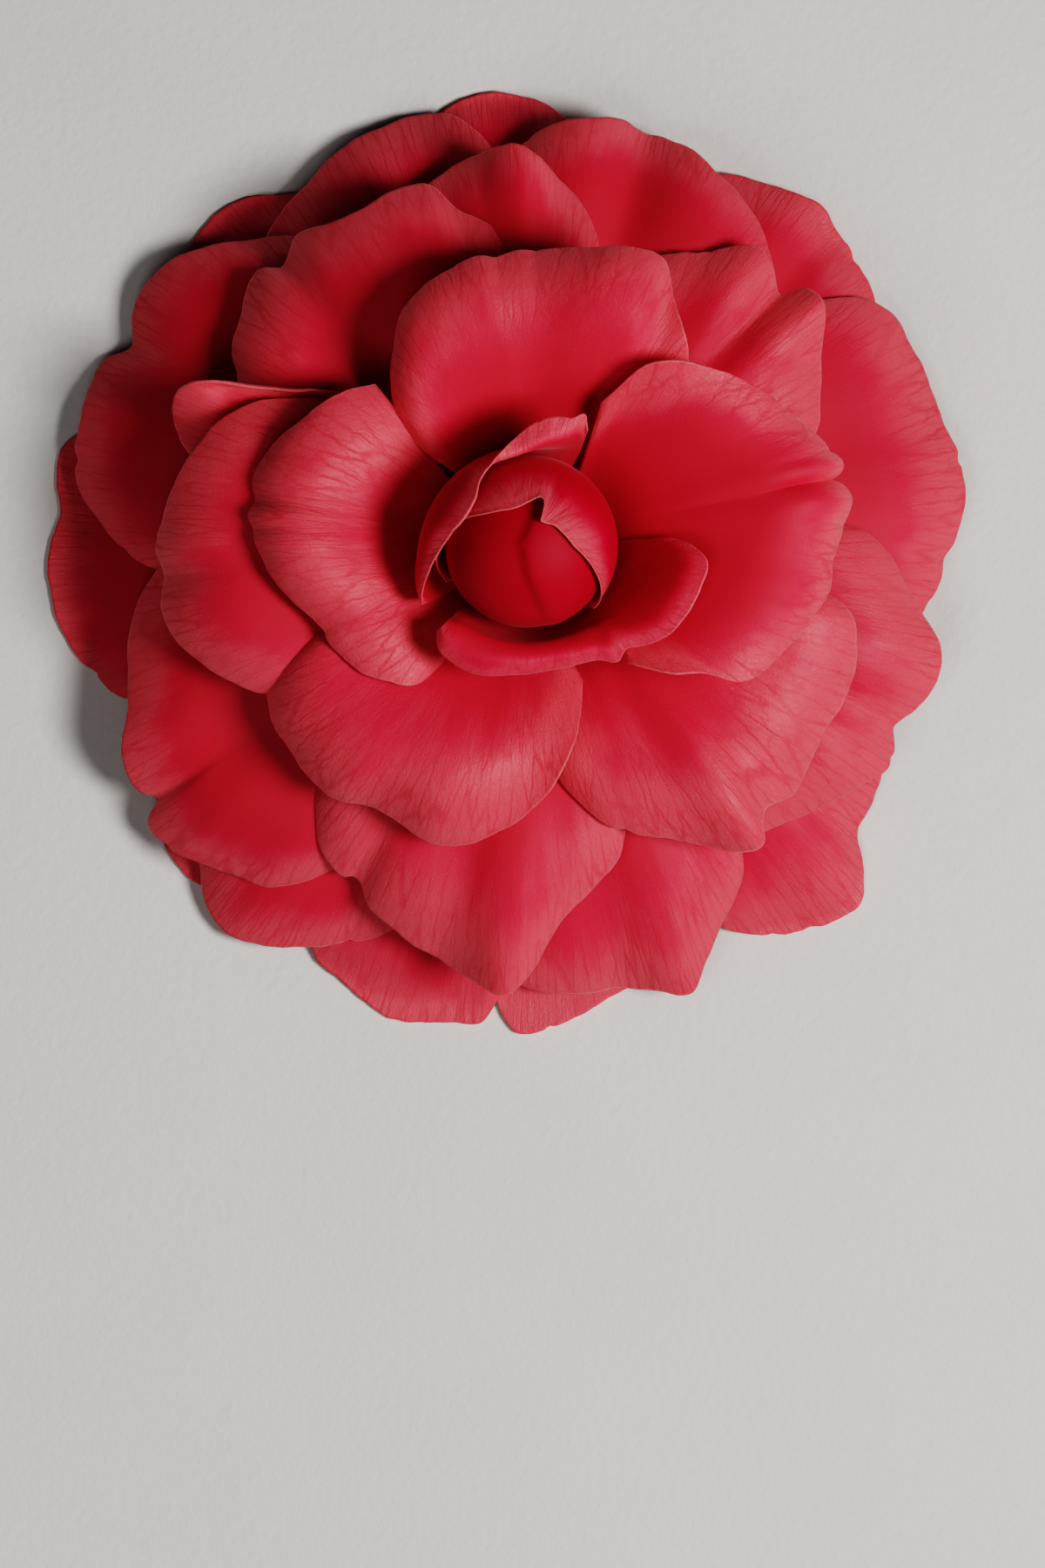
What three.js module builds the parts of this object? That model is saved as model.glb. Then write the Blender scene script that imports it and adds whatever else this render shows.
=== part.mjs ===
// A double red camellia flower, picked and laid face up on a table.
//
// Frame: millimetres, +Z up along the flower's axis, the table at z = 0. Everything is first
// built around the flower's own axis; the last lines move the whole flower so that the origin
// is the middle of its footprint on the table.
//
// Every petal is one closed sheet. It starts at a narrow claw on the side of the receptacle and
// fans out to a rim that is given by a few points, each a bearing round the flower's axis
// (degrees, counterclockwise from +X) and a reach from that axis. How high a petal lies follows
// from its level: levels are nested bowls, about 0 for the drooping guard petals and up to
// nearly 8 for the petals round the bud, so a petal of a higher level always lies above a lower one.

import * as THREE from "three";

// ---------------------------------------------------------------- driving dimensions (mm)

const PETAL_THICKNESS = 0.75;
const RIM_THICKNESS = 0.5; // also the thickness of the claw
const SEPAL_THICKNESS = 0.75;
const BRACT_THICKNESS = 0.6;
const SEAT_GAP = 0.3; // between a claw and the receptacle that carries it

const CLAW_HALF_WIDTH = 2.4; // half the width of a petal where it joins the receptacle
const SCALE_CLAW_HALF_WIDTH = 3; // the same of a sepal or bract
const CLAW_RADIUS = 8.6; // radius of the receptacle's shoulder, where level 0 starts
const CLAW_TAPER = 0.55; // how much nearer to the axis each further level starts
const CALYX_TAPER = 2.2; // the same below the shoulder, for sepals and bracts
const CLAW_HEIGHT = 8.5;
const CLAW_STEP = 1.15; // how much higher each further level starts
const CALYX_STEP = 1.6; // the same below the shoulder

const DROOP_REACH = 45; // length over which a petal droops by the amount of DROOP
const BOWL = { rise: 4, risePerLevel: 1.1, riseCurve: 0.17, run: 13 };
const DROOP = { drop: 15.2, dropPerLevel: 1.6 };

const CURL_START = 0.72; // where along a petal its rim starts to turn down
const TABLE_BLEND = 0.5; // how gently a petal that meets the table flattens out on it

const PEDICEL = { radius: 2.1, cutRadius: 2.3, height: 2.7 };
const RECEPTACLE = { neck: 2, topRadius: 2.2, top: 17.6 };
const RECEPTACLE_LEVELS = [-2.7, -1.6, -0.6, 0, 2, 4, 6, 7.6]; // where its side has a corner

const BUD = {
  radius: 9.1,
  middle: 30.6, // height of its widest circle
  crown: 8.9, // from there up to its top
  foot: 11.6, // from there down to its lowest point
  taper: 1.5, // over 1 makes the lower half a cone rather than a bowl
  lean: [-0.3, -0.4], // how far its middle lies off the flower's axis
};
const HOOD_GAP = 0.6;
const HOOD_THICKNESS = 0.6;

// Facets from claw to rim, and across. A petal has one across for each stretch of its rim.
const PETAL_STEPS_OUT = 5;
const SCALE_STEPS_OUT = 3;
const HOOD_STEPS = { across: 13, out: 7 };
const BUD_HOOD_STEPS = { across: 15, out: 7 };
const BUD_STEPS = { around: 18, down: 9 };
const STEP_GROWTH = 1.35; // over 1 makes the facets near the claw the shortest

// ---------------------------------------------------------------- materials

const crimson = new THREE.MeshStandardMaterial({ color: 0xb01228, roughness: 0.55, metalness: 0 });
const deepCrimson = new THREE.MeshStandardMaterial({ color: 0x8c0a1c, roughness: 0.6, metalness: 0 });
const sepalGreen = new THREE.MeshStandardMaterial({ color: 0x8a8a3c, roughness: 0.7, metalness: 0 });
const bractBrown = new THREE.MeshStandardMaterial({ color: 0x6e5a3a, roughness: 0.75, metalness: 0 });
const woodBrown = new THREE.MeshStandardMaterial({ color: 0x7a5b42, roughness: 0.85, metalness: 0 });
const fleshGreen = new THREE.MeshStandardMaterial({ color: 0x93a05a, roughness: 0.7, metalness: 0 });

// ---------------------------------------------------------------- petals

// level: which nested bowl the petal lies in. bearing: where its claw sits.
// rim: [bearing, reach] points, counterclockwise from one side of the claw to the other.
// curl: how far the rim turns down. marks: [bearing, lift, half width in degrees], a ridge
// where lift is positive and a crease where it is negative.
const petals = {
  // the guard petals, which droop to the table
  guard_petal_1: {
    level: 0.25, bearing: 92, curl: 0.5,
    rim: [[72, 36], [77, 44], [84, 47.5], [90, 50], [96, 51.2], [101, 49.5], [106, 46], [109, 37]],
    marks: [[96, 0.6, 5]],
  },
  guard_petal_2: {
    level: -0.1, bearing: 132, curl: 0.4,
    rim: [[115, 36], [120, 45], [126, 48.5], [131, 51], [137, 50.8], [142, 48], [148, 43],
      [152, 34]],
    marks: [[131, 0.5, 5]],
  },
  guard_petal_3: {
    level: 0.2, bearing: 184, curl: 0.4,
    rim: [[160, 38], [163, 48], [168, 53.5], [172, 53.2], [176, 52.2], [180, 53.5], [184, 53.8],
      [190, 52.6], [196, 50.6], [200, 48], [205, 40]],
    marks: [[175, -0.8, 4]],
  },
  guard_petal_4: {
    level: -0.1, bearing: 221, curl: 0.4,
    rim: [[208, 38], [211, 47], [216, 51], [221, 52.8], [226, 52], [232, 48], [236, 38]],
    marks: [],
  },
  guard_petal_5: {
    level: 0.5, bearing: 253, curl: 0.4,
    rim: [[237, 36], [238, 46], [242, 50.8], [248, 53], [254, 54.3], [260, 53.6], [264, 53],
      [266, 49], [267, 40]],
    marks: [[260, -0.5, 4]],
  },
  guard_petal_6: {
    level: -0.3, bearing: 277, curl: 0.4,
    rim: [[263, 36], [265, 48], [267, 52.3], [269, 54.2], [273, 53.2], [278, 51.3], [283, 50],
      [289, 47], [293, 38]],
    marks: [[275, 0.4, 5]],
  },
  guard_petal_7: {
    level: 0.55, bearing: 312, curl: 0.6,
    rim: [[290, 36], [293, 43], [298, 48], [304, 51.5], [309, 53.6], [313, 53.8], [316, 51.5],
      [319, 48.3], [324, 47], [329, 45], [333, 38]],
    marks: [[312, 1.0, 5], [303, -0.6, 5], [319, -0.7, 4]],
  },
  guard_petal_8: {
    level: 0.1, bearing: 49, curl: 0.5,
    rim: [[28, 38], [32, 45], [37, 47.6], [42, 48.8], [46, 49.2], [50, 50], [55, 49], [60, 47.6],
      [66, 45], [69, 36]],
    marks: [[46, -1.0, 4], [52, 0.7, 4]],
  },

  // the outer petals
  outer_petal_1: {
    level: 0.9, bearing: 115, curl: 0.8,
    rim: [[92, 34], [95, 44], [100, 48.5], [106, 49.8], [113, 49.1], [120, 47.7], [127, 46],
      [132, 43.5], [137, 36]],
    marks: [[113, 0.6, 7]],
  },
  outer_petal_2: {
    level: 1.7, bearing: 155, curl: 1.4,
    rim: [[123, 34], [126, 42], [131, 45], [137, 49], [143, 51], [149, 51.3], [153, 49.4],
      [156, 51.3], [161, 52], [167, 51.5], [172, 50.3], [177, 47.2], [182, 42.5], [186, 34]],
    marks: [[153, -1.6, 6], [163, 0.8, 7], [143, 0.8, 7]],
  },
  outer_petal_3: {
    level: 1.35, bearing: 236, curl: 0.7,
    rim: [[216, 36], [220, 46], [225, 51.5], [229, 53.8], [233, 53.7], [239, 51.5], [245, 47.8],
      [251, 44], [255, 34]],
    marks: [[232, 0.6, 6]],
  },
  outer_petal_4: {
    level: 1.1, bearing: 14, curl: 0.9,
    rim: [[-16, 34], [-12, 42], [-6, 45], [0, 46.7], [6, 48.2], [12, 48.8], [19, 47.6], [26, 48],
      [33, 47.8], [38, 45], [42, 40], [45, 32]],
    marks: [[19, -0.5, 6], [8, 0.5, 7]],
  },
  outer_petal_5: {
    level: 1.5, bearing: 286, curl: 0.8,
    rim: [[263, 34], [265, 45], [269, 48.5], [275, 49.2], [281, 49.6], [286, 50.8], [290, 52],
      [293, 49.6], [298, 46], [304, 42], [308, 34]],
    marks: [[290, 1.6, 4.5], [283, -0.9, 5]],
  },
  outer_petal_6: {
    level: 2.0, bearing: 67, curl: 1.0,
    rim: [[40, 30], [44, 37.5], [49, 41], [55, 43.6], [62, 46], [69, 47.6], [74, 47.5],
      [78, 48.5], [84, 47.2], [90, 45], [95, 40], [97, 30]],
    marks: [[74, -2.0, 4.5], [82, 1.0, 5], [60, 0.7, 8]],
  },
  outer_petal_7: {
    level: 2.4, bearing: 211, curl: 1.4,
    rim: [[178, 30], [181, 39], [187, 43], [195, 45.7], [202, 47.8], [208, 50.6], [212, 50.8],
      [214, 49.6], [216, 52], [221, 51.2], [227, 49], [233, 46.5], [239, 41], [243, 32]],
    marks: [[214, -1.2, 4], [205, 0.8, 7]],
  },
  outer_petal_8: {
    level: 2.2, bearing: 335, curl: 0.9,
    rim: [[302, 30], [305, 39], [311, 41], [318, 42.6], [324, 44.8], [328, 46.3], [331, 45.8],
      [334, 44.3], [338, 46.3], [343, 47.3], [347, 46], [351, 43.3], [357, 40.5], [362, 37],
      [366, 30]],
    marks: [[334, -1.3, 4.5], [343, 0.9, 5], [326, 0.7, 5]],
  },

  // the middle petals
  middle_petal_1: {
    level: 2.8, bearing: 93, curl: 0.8,
    rim: [[75, 27], [77, 33.4], [80, 36.8], [85, 39.8], [89, 42.8], [92, 44.3], [96, 43.6],
      [101, 42.6], [107, 41], [113, 36], [115, 27]],
    marks: [[92, 1.8, 4.5], [100, -0.7, 6]],
  },
  middle_petal_2: {
    level: 3.2, bearing: 261, curl: 1.2,
    rim: [[226, 28], [230, 36], [235, 40], [240, 41.4], [243, 41], [246, 43.3], [252, 45],
      [258, 46.2], [263, 48.3], [267, 49.2], [270, 46.5], [274, 42], [280, 38], [286, 35.3],
      [291, 30]],
    marks: [[267, 2.0, 4.5], [258, -0.8, 5], [243, -0.9, 4]],
  },
  middle_petal_3: {
    level: 3.3, bearing: 44, curl: 1.0,
    rim: [[15, 27], [21, 33], [29, 36.5], [36, 39.5], [40, 41.7], [43, 41.2], [45, 39.1],
      [49, 40.4], [52, 41], [58, 38], [66, 34.5], [71, 29]],
    marks: [[40, 1.5, 4], [45, -1.3, 3.5], [51, 0.9, 4]],
  },
  middle_petal_4: {
    level: 3.6, bearing: 114, curl: 1.6,
    rim: [[94, 26], [94.5, 31.4], [97, 35], [102, 37.6], [106, 41], [112, 41.4], [120, 41.3],
      [127, 42.3], [131, 41.1], [135, 42.6], [141, 40.3], [148, 38.3], [155, 33], [157, 25]],
    marks: [[131, -0.9, 4], [117, 0.8, 8]],
  },
  middle_petal_5: {
    level: 4.0, bearing: 316, curl: 1.6,
    rim: [[273, 22], [279, 27], [286, 31.5], [293, 34.6], [300, 37.6], [305, 40.6], [308, 41.6],
      [311, 38.9], [317, 39.2], [325, 38.2], [334, 38], [342, 37.3], [347, 36.3], [351, 32],
      [354, 24]],
    marks: [[308, 2.0, 4.5], [315, -1.0, 5], [346, 0.8, 5]],
  },
  middle_petal_6: {
    level: 4.1, bearing: 148, curl: 0.6,
    rim: [[134, 26], [140, 33], [147, 37.5], [152, 40.5], [156, 42.2], [160, 41.5], [165, 38],
      [169, 32]],
    marks: [[154, -1.0, 5]],
  },
  middle_petal_7: {
    level: 4.75, bearing: 184, curl: 2.6,
    rim: [[144, 27], [152, 33], [160, 36.8], [168, 38.6], [175, 39.6], [180, 40.8],
      [185, 39.9], [191, 40.3], [198, 38.8], [205, 35.3], [210, 32], [211, 26]],
    marks: [[184, -0.8, 5], [165, 0.8, 8]],
  },

  // the inner petals, cupped round the bud
  inner_petal_1: {
    level: 5.4, bearing: 245, curl: 3.0,
    rim: [[201, 26], [206, 31], [214, 33.6], [222, 34.4], [231, 34.5], [240, 33.1],
      [248, 33.6], [254, 33.7], [261, 32.3], [269, 29.4], [277, 25.6], [284, 21.5], [291, 16]],
    marks: [[240, -0.7, 6], [252, 0.8, 7]],
  },
  inner_petal_2: {
    level: 6.5, bearing: 94, curl: 1.6,
    rim: [[48, 25.5], [53, 28], [59, 30.5], [65, 33.6], [74, 33.1],
      [84, 31.8], [94, 31.1], [102, 31.3], [111, 29.8], [119, 28.2], [127, 24.6], [134, 20.8],
      [139, 16.5]],
    marks: [[88, -1.2, 8], [70, 0.9, 8]],
  },
  inner_petal_3: {
    level: 6.05, bearing: 182, curl: 2.8,
    rim: [[134.5, 24], [143, 26.3], [156, 29], [168, 30.3], [175, 30.1],
      [182, 28.9], [190, 27.2], [199, 25], [209, 23.7], [220, 22.2], [230, 20.2], [233, 16]],
    marks: [[152, 0.8, 8], [200, -0.6, 8]],
  },
  inner_petal_4: {
    level: 7.15, bearing: 8, curl: 2.8,
    rim: [[-51, 17], [-43, 21], [-37, 24], [-33, 27.5], [-26, 29], [-17, 31.3], [-9, 32.4],
      [-3, 32.4], [3, 34], [9, 35], [14, 34.6], [19, 33.4], [27, 31], [36, 28.9], [46, 26.7],
      [56, 23], [63, 17]],
    marks: [[11, 0.9, 5], [36, 0.7, 10]],
  },
  lip_petal: {
    level: 7.65, bearing: 280, curl: 0.5,
    rim: [[225, 11.5], [227, 14.3], [240, 15.5], [259, 14.4], [276, 13.9], [292, 14.4],
      [303, 15.5], [309, 16.3], [317, 16.5], [326, 17.4], [334, 18.6], [343, 19.3], [352, 19.5],
      [359, 18.6], [361, 16.6]],
    marks: [[303, -0.5, 6]],
  },
};

// The hood petal stands round the bud: it leans over the bud on one side and turns out at its
// top on the other. Each row gives the rim's bearing, reach and height.
const hoodRim = [[66, 13.6, 32.4], [80, 13.7, 33], [94, 12.4, 33.7], [110, 11.2, 34.5],
  [126, 9.8, 35.3], [142, 9, 35.7], [158, 9.1, 35.7], [176, 9.6, 35.1], [192, 10.8, 33.3],
  [206, 12.7, 30.3]];
const hoodWall = { low: [9.2, 22.7], high: [14.2, 29.2] }; // [reach, height] of its two bends
const hoodClaw = { bearing: 137, halfAngle: 32, reach: 4.5, height: 17.8 };

// The bud hood is the outermost petal of the bud. Each row gives a bearing and how far from the
// bud's top its rim lies there, in degrees over the dome.
const budHoodRim = [[-43, 96], [-29, 74], [-11, 42], [12, 27], [33, 20], [56, 17], [77, 30],
  [103, 22], [130, 36], [161, 56], [190, 84], [204, 104]];
const BUD_HOOD_FOOT = 158; // degrees from the top at which the bud hood starts

// Sepals and bracts lie under the petals, like petals of levels below 0.
const calyx = {
  sepal_1: { level: -0.9, bearing: 30, reach: 16.5, halfAngle: 33, curl: 0.2 },
  sepal_2: { level: -1.25, bearing: 102, reach: 16, halfAngle: 34, curl: 0.2 },
  sepal_3: { level: -0.9, bearing: 174, reach: 16.8, halfAngle: 33, curl: 0.2 },
  sepal_4: { level: -1.25, bearing: 246, reach: 15.8, halfAngle: 34, curl: 0.2 },
  sepal_5: { level: -1.6, bearing: 318, reach: 15.2, halfAngle: 34, curl: 0.2 },
  bract_1: { level: -1.95, bearing: 66, reach: 11, halfAngle: 40, curl: 0.1 },
  bract_2: { level: -1.95, bearing: 210, reach: 10.5, halfAngle: 40, curl: 0.1 },
  bract_3: { level: -2.75, bearing: 138, reach: 8.6, halfAngle: 38, curl: 0.1 },
  bract_4: { level: -2.75, bearing: 292, reach: 8.4, halfAngle: 38, curl: 0.1 },
};

// ---------------------------------------------------------------- the rule for the bowls

const radians = THREE.MathUtils.degToRad;

function clawRadius(level) {
  const taper = level < 0 ? CALYX_TAPER : -CLAW_TAPER;
  return CLAW_RADIUS + taper * level;
}

function clawHeight(level) {
  return CLAW_HEIGHT + (level < 0 ? CALYX_STEP : CLAW_STEP) * level;
}

// Height of a level's bowl at a reach: up from the claw, then drooping towards the rim.
function bowlHeight(level, reach) {
  const rise = BOWL.rise + BOWL.risePerLevel * level + BOWL.riseCurve * level * level;
  const drop = DROOP.drop - DROOP.dropPerLevel * level;
  const out = Math.max(reach - clawRadius(level), 0);
  return clawHeight(level) + rise * (1 - Math.exp(-out / BOWL.run)) - drop * (out / DROOP_REACH) ** 2;
}

// A petal that would sink into the table flattens out on it instead.
function restOnTable(height, least) {
  const over = (height - least) / TABLE_BLEND;
  return over > 20 ? height : least + TABLE_BLEND * Math.log1p(Math.exp(over));
}

function polar(bearing, reach, height = 0) {
  const angle = radians(bearing);
  return new THREE.Vector3(reach * Math.cos(angle), reach * Math.sin(angle), height);
}

// ---------------------------------------------------------------- sheets

// A closed sheet from a surface function at(u, v): u runs across and v from claw to rim. The
// surface is the sheet's upper face; the lower one lies a thickness below it along the normal.
function sheet(at, thicknessAt, stepsRound, stepsOut, floor = -Infinity) {
  const upper = [];
  const lower = [];
  const small = 1e-3;
  for (let i = 0; i <= stepsRound; i++) {
    for (let j = 0; j <= stepsOut; j++) {
      const u = i / stepsRound;
      const v = (j / stepsOut) ** STEP_GROWTH;
      const here = at(u, v);
      const across = at(Math.min(u + small, 1), v).sub(at(Math.max(u - small, 0), v));
      const out = at(u, Math.min(v + small, 1)).sub(at(u, Math.max(v - small, 0)));
      const normal = out.cross(across).normalize();
      const under = here.clone().addScaledVector(normal, -thicknessAt(v));
      under.z = Math.max(under.z, floor);
      upper.push(here);
      lower.push(under);
    }
  }
  const row = stepsOut + 1;
  const count = upper.length;
  const triangles = [];
  const quad = (a, b, c, d) => triangles.push(a, b, c, a, c, d);
  for (let i = 0; i < stepsRound; i++) {
    for (let j = 0; j < stepsOut; j++) {
      const a = i * row + j;
      quad(a, a + 1, a + row + 1, a + row);
      quad(count + a, count + a + row, count + a + row + 1, count + a + 1);
    }
  }
  const edge = []; // once round the sheet's border, claw side first
  for (let i = 0; i < stepsRound; i++) edge.push(i * row);
  for (let j = 0; j < stepsOut; j++) edge.push(stepsRound * row + j);
  for (let i = stepsRound; i > 0; i--) edge.push(i * row + stepsOut);
  for (let j = stepsOut; j > 0; j--) edge.push(j);
  edge.forEach((a, k) => {
    const b = edge[(k + 1) % edge.length];
    quad(a, b, count + b, count + a);
  });
  const positions = [...upper, ...lower].flatMap((p) => [p.x, p.y, p.z]);
  const geometry = new THREE.BufferGeometry();
  geometry.setAttribute("position", new THREE.Float32BufferAttribute(positions, 3));
  geometry.setIndex(triangles);
  geometry.computeVertexNormals();
  return geometry;
}

function bump(distance) {
  return Math.exp(-distance * distance);
}

// A petal's upper face: straight lines from its claw to its rim, lifted onto its level's bowl.
function fanSurface({ level, bearing, rim, curl, marks }, clawHalfWidth, least) {
  const rimPoints = rim.map(([pointBearing, pointReach]) => polar(pointBearing, pointReach));
  const rimLine = new THREE.CatmullRomCurve3(rimPoints, false, "centripetal");
  const furthest = Math.max(...rim.map(([, reach]) => reach));
  const start = clawRadius(level);
  const halfAngle = THREE.MathUtils.radToDeg(clawHalfWidth / start);
  return (u, v) => {
    const claw = polar(bearing + halfAngle * (2 * u - 1), start);
    const point = claw.lerp(rimLine.getPoint(u), v);
    const reach = Math.hypot(point.x, point.y);
    const angle = THREE.MathUtils.radToDeg(Math.atan2(point.y, point.x));
    let height = bowlHeight(level, reach);
    for (const [markBearing, lift, width] of marks) {
      const off = THREE.MathUtils.euclideanModulo(angle - markBearing + 180, 360) - 180;
      height += lift * bump(off / width) * v ** 3;
    }
    const past = Math.max(v - CURL_START, 0) / (1 - CURL_START);
    height -= curl * past ** 2 * (reach / furthest) ** 4;
    point.z = restOnTable(height, least);
    return point;
  };
}

function petalGeometry(petal) {
  const surface = fanSurface(petal, CLAW_HALF_WIDTH, RIM_THICKNESS);
  const middle = PETAL_THICKNESS - RIM_THICKNESS;
  const thickness = (v) => RIM_THICKNESS + middle * Math.sin(Math.PI * v);
  return sheet(surface, thickness, petal.rim.length - 1, PETAL_STEPS_OUT, 0);
}

// A sepal or bract: a short, broad, round-ended scale. Its rim runs from one side, -1, to the
// other, and reaches less far out at the sides.
const scaleSides = [-1, -0.8, -0.45, 0, 0.45, 0.8, 1];

function scaleGeometry({ level, bearing, reach, halfAngle, curl }, thickness) {
  const rim = scaleSides.map((side) => {
    const round = Math.sqrt(1 - 0.5 * side * side);
    return [bearing + halfAngle * side, reach * round];
  });
  const surface = fanSurface({ level, bearing, rim, curl, marks: [] }, SCALE_CLAW_HALF_WIDTH, 0);
  return sheet(surface, () => thickness, rim.length - 1, SCALE_STEPS_OUT, 0);
}

// ---------------------------------------------------------------- the heart of the flower

// The bud's outline: distance from its axis and height, at an angle down from its top.
function budProfile(degreesFromTop, grow = 0) {
  const angle = radians(degreesFromTop);
  const lower = degreesFromTop > 90;
  const reach = (BUD.radius + grow) * Math.sin(angle) ** (lower ? BUD.taper : 1);
  const half = (lower ? BUD.foot : BUD.crown) + grow;
  return new THREE.Vector2(reach, BUD.middle + half * Math.cos(angle));
}

// A smooth curve through the rows of a rim, which hold a bearing and one or two lengths or angles.
function rimCurve(rows) {
  const points = rows.map(([a, b, c = 0]) => new THREE.Vector3(a, b, c));
  return new THREE.CatmullRomCurve3(points, false, "centripetal");
}

function budHeartGeometry() {
  const { around, down } = BUD_STEPS;
  const profile = [];
  for (let k = down; k >= 0; k--) profile.push(budProfile((180 * k) / down));
  profile[0].x = 0;
  profile[down].x = 0;
  const geometry = new THREE.LatheGeometry(profile, around);
  geometry.rotateX(Math.PI / 2);
  geometry.translate(BUD.lean[0], BUD.lean[1], 0);
  return geometry;
}

function budHoodGeometry() {
  const curve = rimCurve(budHoodRim);
  const surface = (u, v) => {
    const rim = curve.getPoint(u);
    const down = THREE.MathUtils.lerp(BUD_HOOD_FOOT, rim.y, v);
    const on = budProfile(down, HOOD_GAP);
    return polar(rim.x, on.x, on.y).add(new THREE.Vector3(...BUD.lean, 0));
  };
  return sheet(surface, () => HOOD_THICKNESS, BUD_HOOD_STEPS.across, BUD_HOOD_STEPS.out);
}

function hoodPetalGeometry() {
  const curve = rimCurve(hoodRim);
  const surface = (u, v) => {
    const rim = curve.getPoint(u);
    const clawBearing = hoodClaw.bearing + hoodClaw.halfAngle * (2 * u - 1);
    const bearing = THREE.MathUtils.lerp(clawBearing, rim.x, Math.sin((v * Math.PI) / 2));
    const wall = new THREE.CubicBezierCurve(
      new THREE.Vector2(hoodClaw.reach, hoodClaw.height),
      new THREE.Vector2(...hoodWall.low),
      new THREE.Vector2(...hoodWall.high),
      new THREE.Vector2(rim.y, rim.z),
    );
    const on = wall.getPoint(v);
    return polar(bearing, on.x, on.y);
  };
  return sheet(surface, () => HOOD_THICKNESS, HOOD_STEPS.across, HOOD_STEPS.out);
}

// ---------------------------------------------------------------- receptacle and pedicel

// A lathe's profile lies in its own XY plane; the flower's axis is Z.
function turned(profile, facets) {
  const geometry = new THREE.LatheGeometry(profile.map(([r, z]) => new THREE.Vector2(r, z)), facets);
  geometry.rotateX(Math.PI / 2);
  return geometry;
}

function receptacleGeometry() {
  const foot = PEDICEL.height + SEAT_GAP;
  const profile = [[0, foot], [RECEPTACLE.neck, foot]];
  for (const level of RECEPTACLE_LEVELS) {
    profile.push([clawRadius(level) - SEAT_GAP, clawHeight(level)]);
  }
  profile.push([RECEPTACLE.topRadius, RECEPTACLE.top], [0, RECEPTACLE.top]);
  return turned(profile, 24);
}

function pedicelGeometry() {
  const { radius, cutRadius, height } = PEDICEL;
  return turned([[0, 0], [cutRadius, 0], [radius, height * 0.4], [radius, height], [0, height]], 20);
}

// ---------------------------------------------------------------- the flower

const flower = new THREE.Group();

function add(name, geometry, material) {
  const mesh = new THREE.Mesh(geometry, material);
  mesh.name = name;
  flower.add(mesh);
}

for (const [name, petal] of Object.entries(petals)) add(name, petalGeometry(petal), crimson);
add("hood_petal", hoodPetalGeometry(), crimson);
add("bud_hood", budHoodGeometry(), crimson);
add("bud_heart", budHeartGeometry(), deepCrimson);
for (const [name, scale] of Object.entries(calyx)) {
  const sepal = name.startsWith("sepal");
  const geometry = scaleGeometry(scale, sepal ? SEPAL_THICKNESS : BRACT_THICKNESS);
  add(name, geometry, sepal ? sepalGreen : bractBrown);
}
add("receptacle", receptacleGeometry(), fleshGreen);
add("pedicel", pedicelGeometry(), woodBrown);

// The origin goes to the middle of the flower's footprint, on the table.
const box = new THREE.Box3().setFromObject(flower);
flower.position.set(-(box.min.x + box.max.x) / 2, -(box.min.y + box.max.y) / 2, -box.min.z);

export default flower;
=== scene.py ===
# %% [markdown]
# # A double red camellia, picked and laid on a table
#
# The construction model already says where every petal grows and how far it reaches. This lesson
# dresses it: each plain faceted sheet gets a thin, smooth, rolled and veined petal in its place, the
# bud gets its folded petals, the calyx its silky scales, and the stalk its bark. We start by loading
# the construction model. It fixes the size and the place of everything that follows.

# %% Load the construction
import math

import bmesh
import bpy
import numpy as np
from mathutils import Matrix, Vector


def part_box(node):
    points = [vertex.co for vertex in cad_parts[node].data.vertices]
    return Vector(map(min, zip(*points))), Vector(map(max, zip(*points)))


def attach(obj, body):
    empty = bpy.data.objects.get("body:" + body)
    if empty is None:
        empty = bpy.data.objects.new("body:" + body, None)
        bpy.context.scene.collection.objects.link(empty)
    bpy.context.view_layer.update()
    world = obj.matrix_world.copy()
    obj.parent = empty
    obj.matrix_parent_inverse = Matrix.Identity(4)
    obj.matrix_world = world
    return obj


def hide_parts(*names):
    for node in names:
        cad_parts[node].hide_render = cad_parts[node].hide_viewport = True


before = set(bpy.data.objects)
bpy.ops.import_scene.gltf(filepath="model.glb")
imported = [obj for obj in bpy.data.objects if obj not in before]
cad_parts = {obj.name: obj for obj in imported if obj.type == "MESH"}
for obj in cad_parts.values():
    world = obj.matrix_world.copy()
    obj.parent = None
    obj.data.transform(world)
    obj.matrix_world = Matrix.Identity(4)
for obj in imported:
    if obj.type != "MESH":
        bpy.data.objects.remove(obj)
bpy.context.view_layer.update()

MM = 0.001

# %% [markdown]
# ## The flower's own axis
#
# A flower is drawn round its own axis, the line from the stalk to the bud, but the origin of the
# model is the middle of its footprint on the table. The receptacle, the fleshy cone in the middle,
# is round, so the centre of its box tells us where the axis stands.

# %% Find the flower's axis
core_low, core_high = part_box("receptacle")
AXIS = ((core_low + core_high) / 2).to_2d()
print("axis in mm:", [round(c / MM, 2) for c in AXIS])

# %% [markdown]
# ## A way to write node trees as sums
#
# Shapes here are made by Geometry Nodes, and surfaces by shader nodes. Both kinds of tree hold long
# stretches of arithmetic, and wiring each Math node by hand hides the sum. So one small class wraps
# the output of a node: adding, multiplying or comparing such outputs adds the Math nodes. Everything
# else comes from one method, which takes the node's type, its settings and its inputs.


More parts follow.
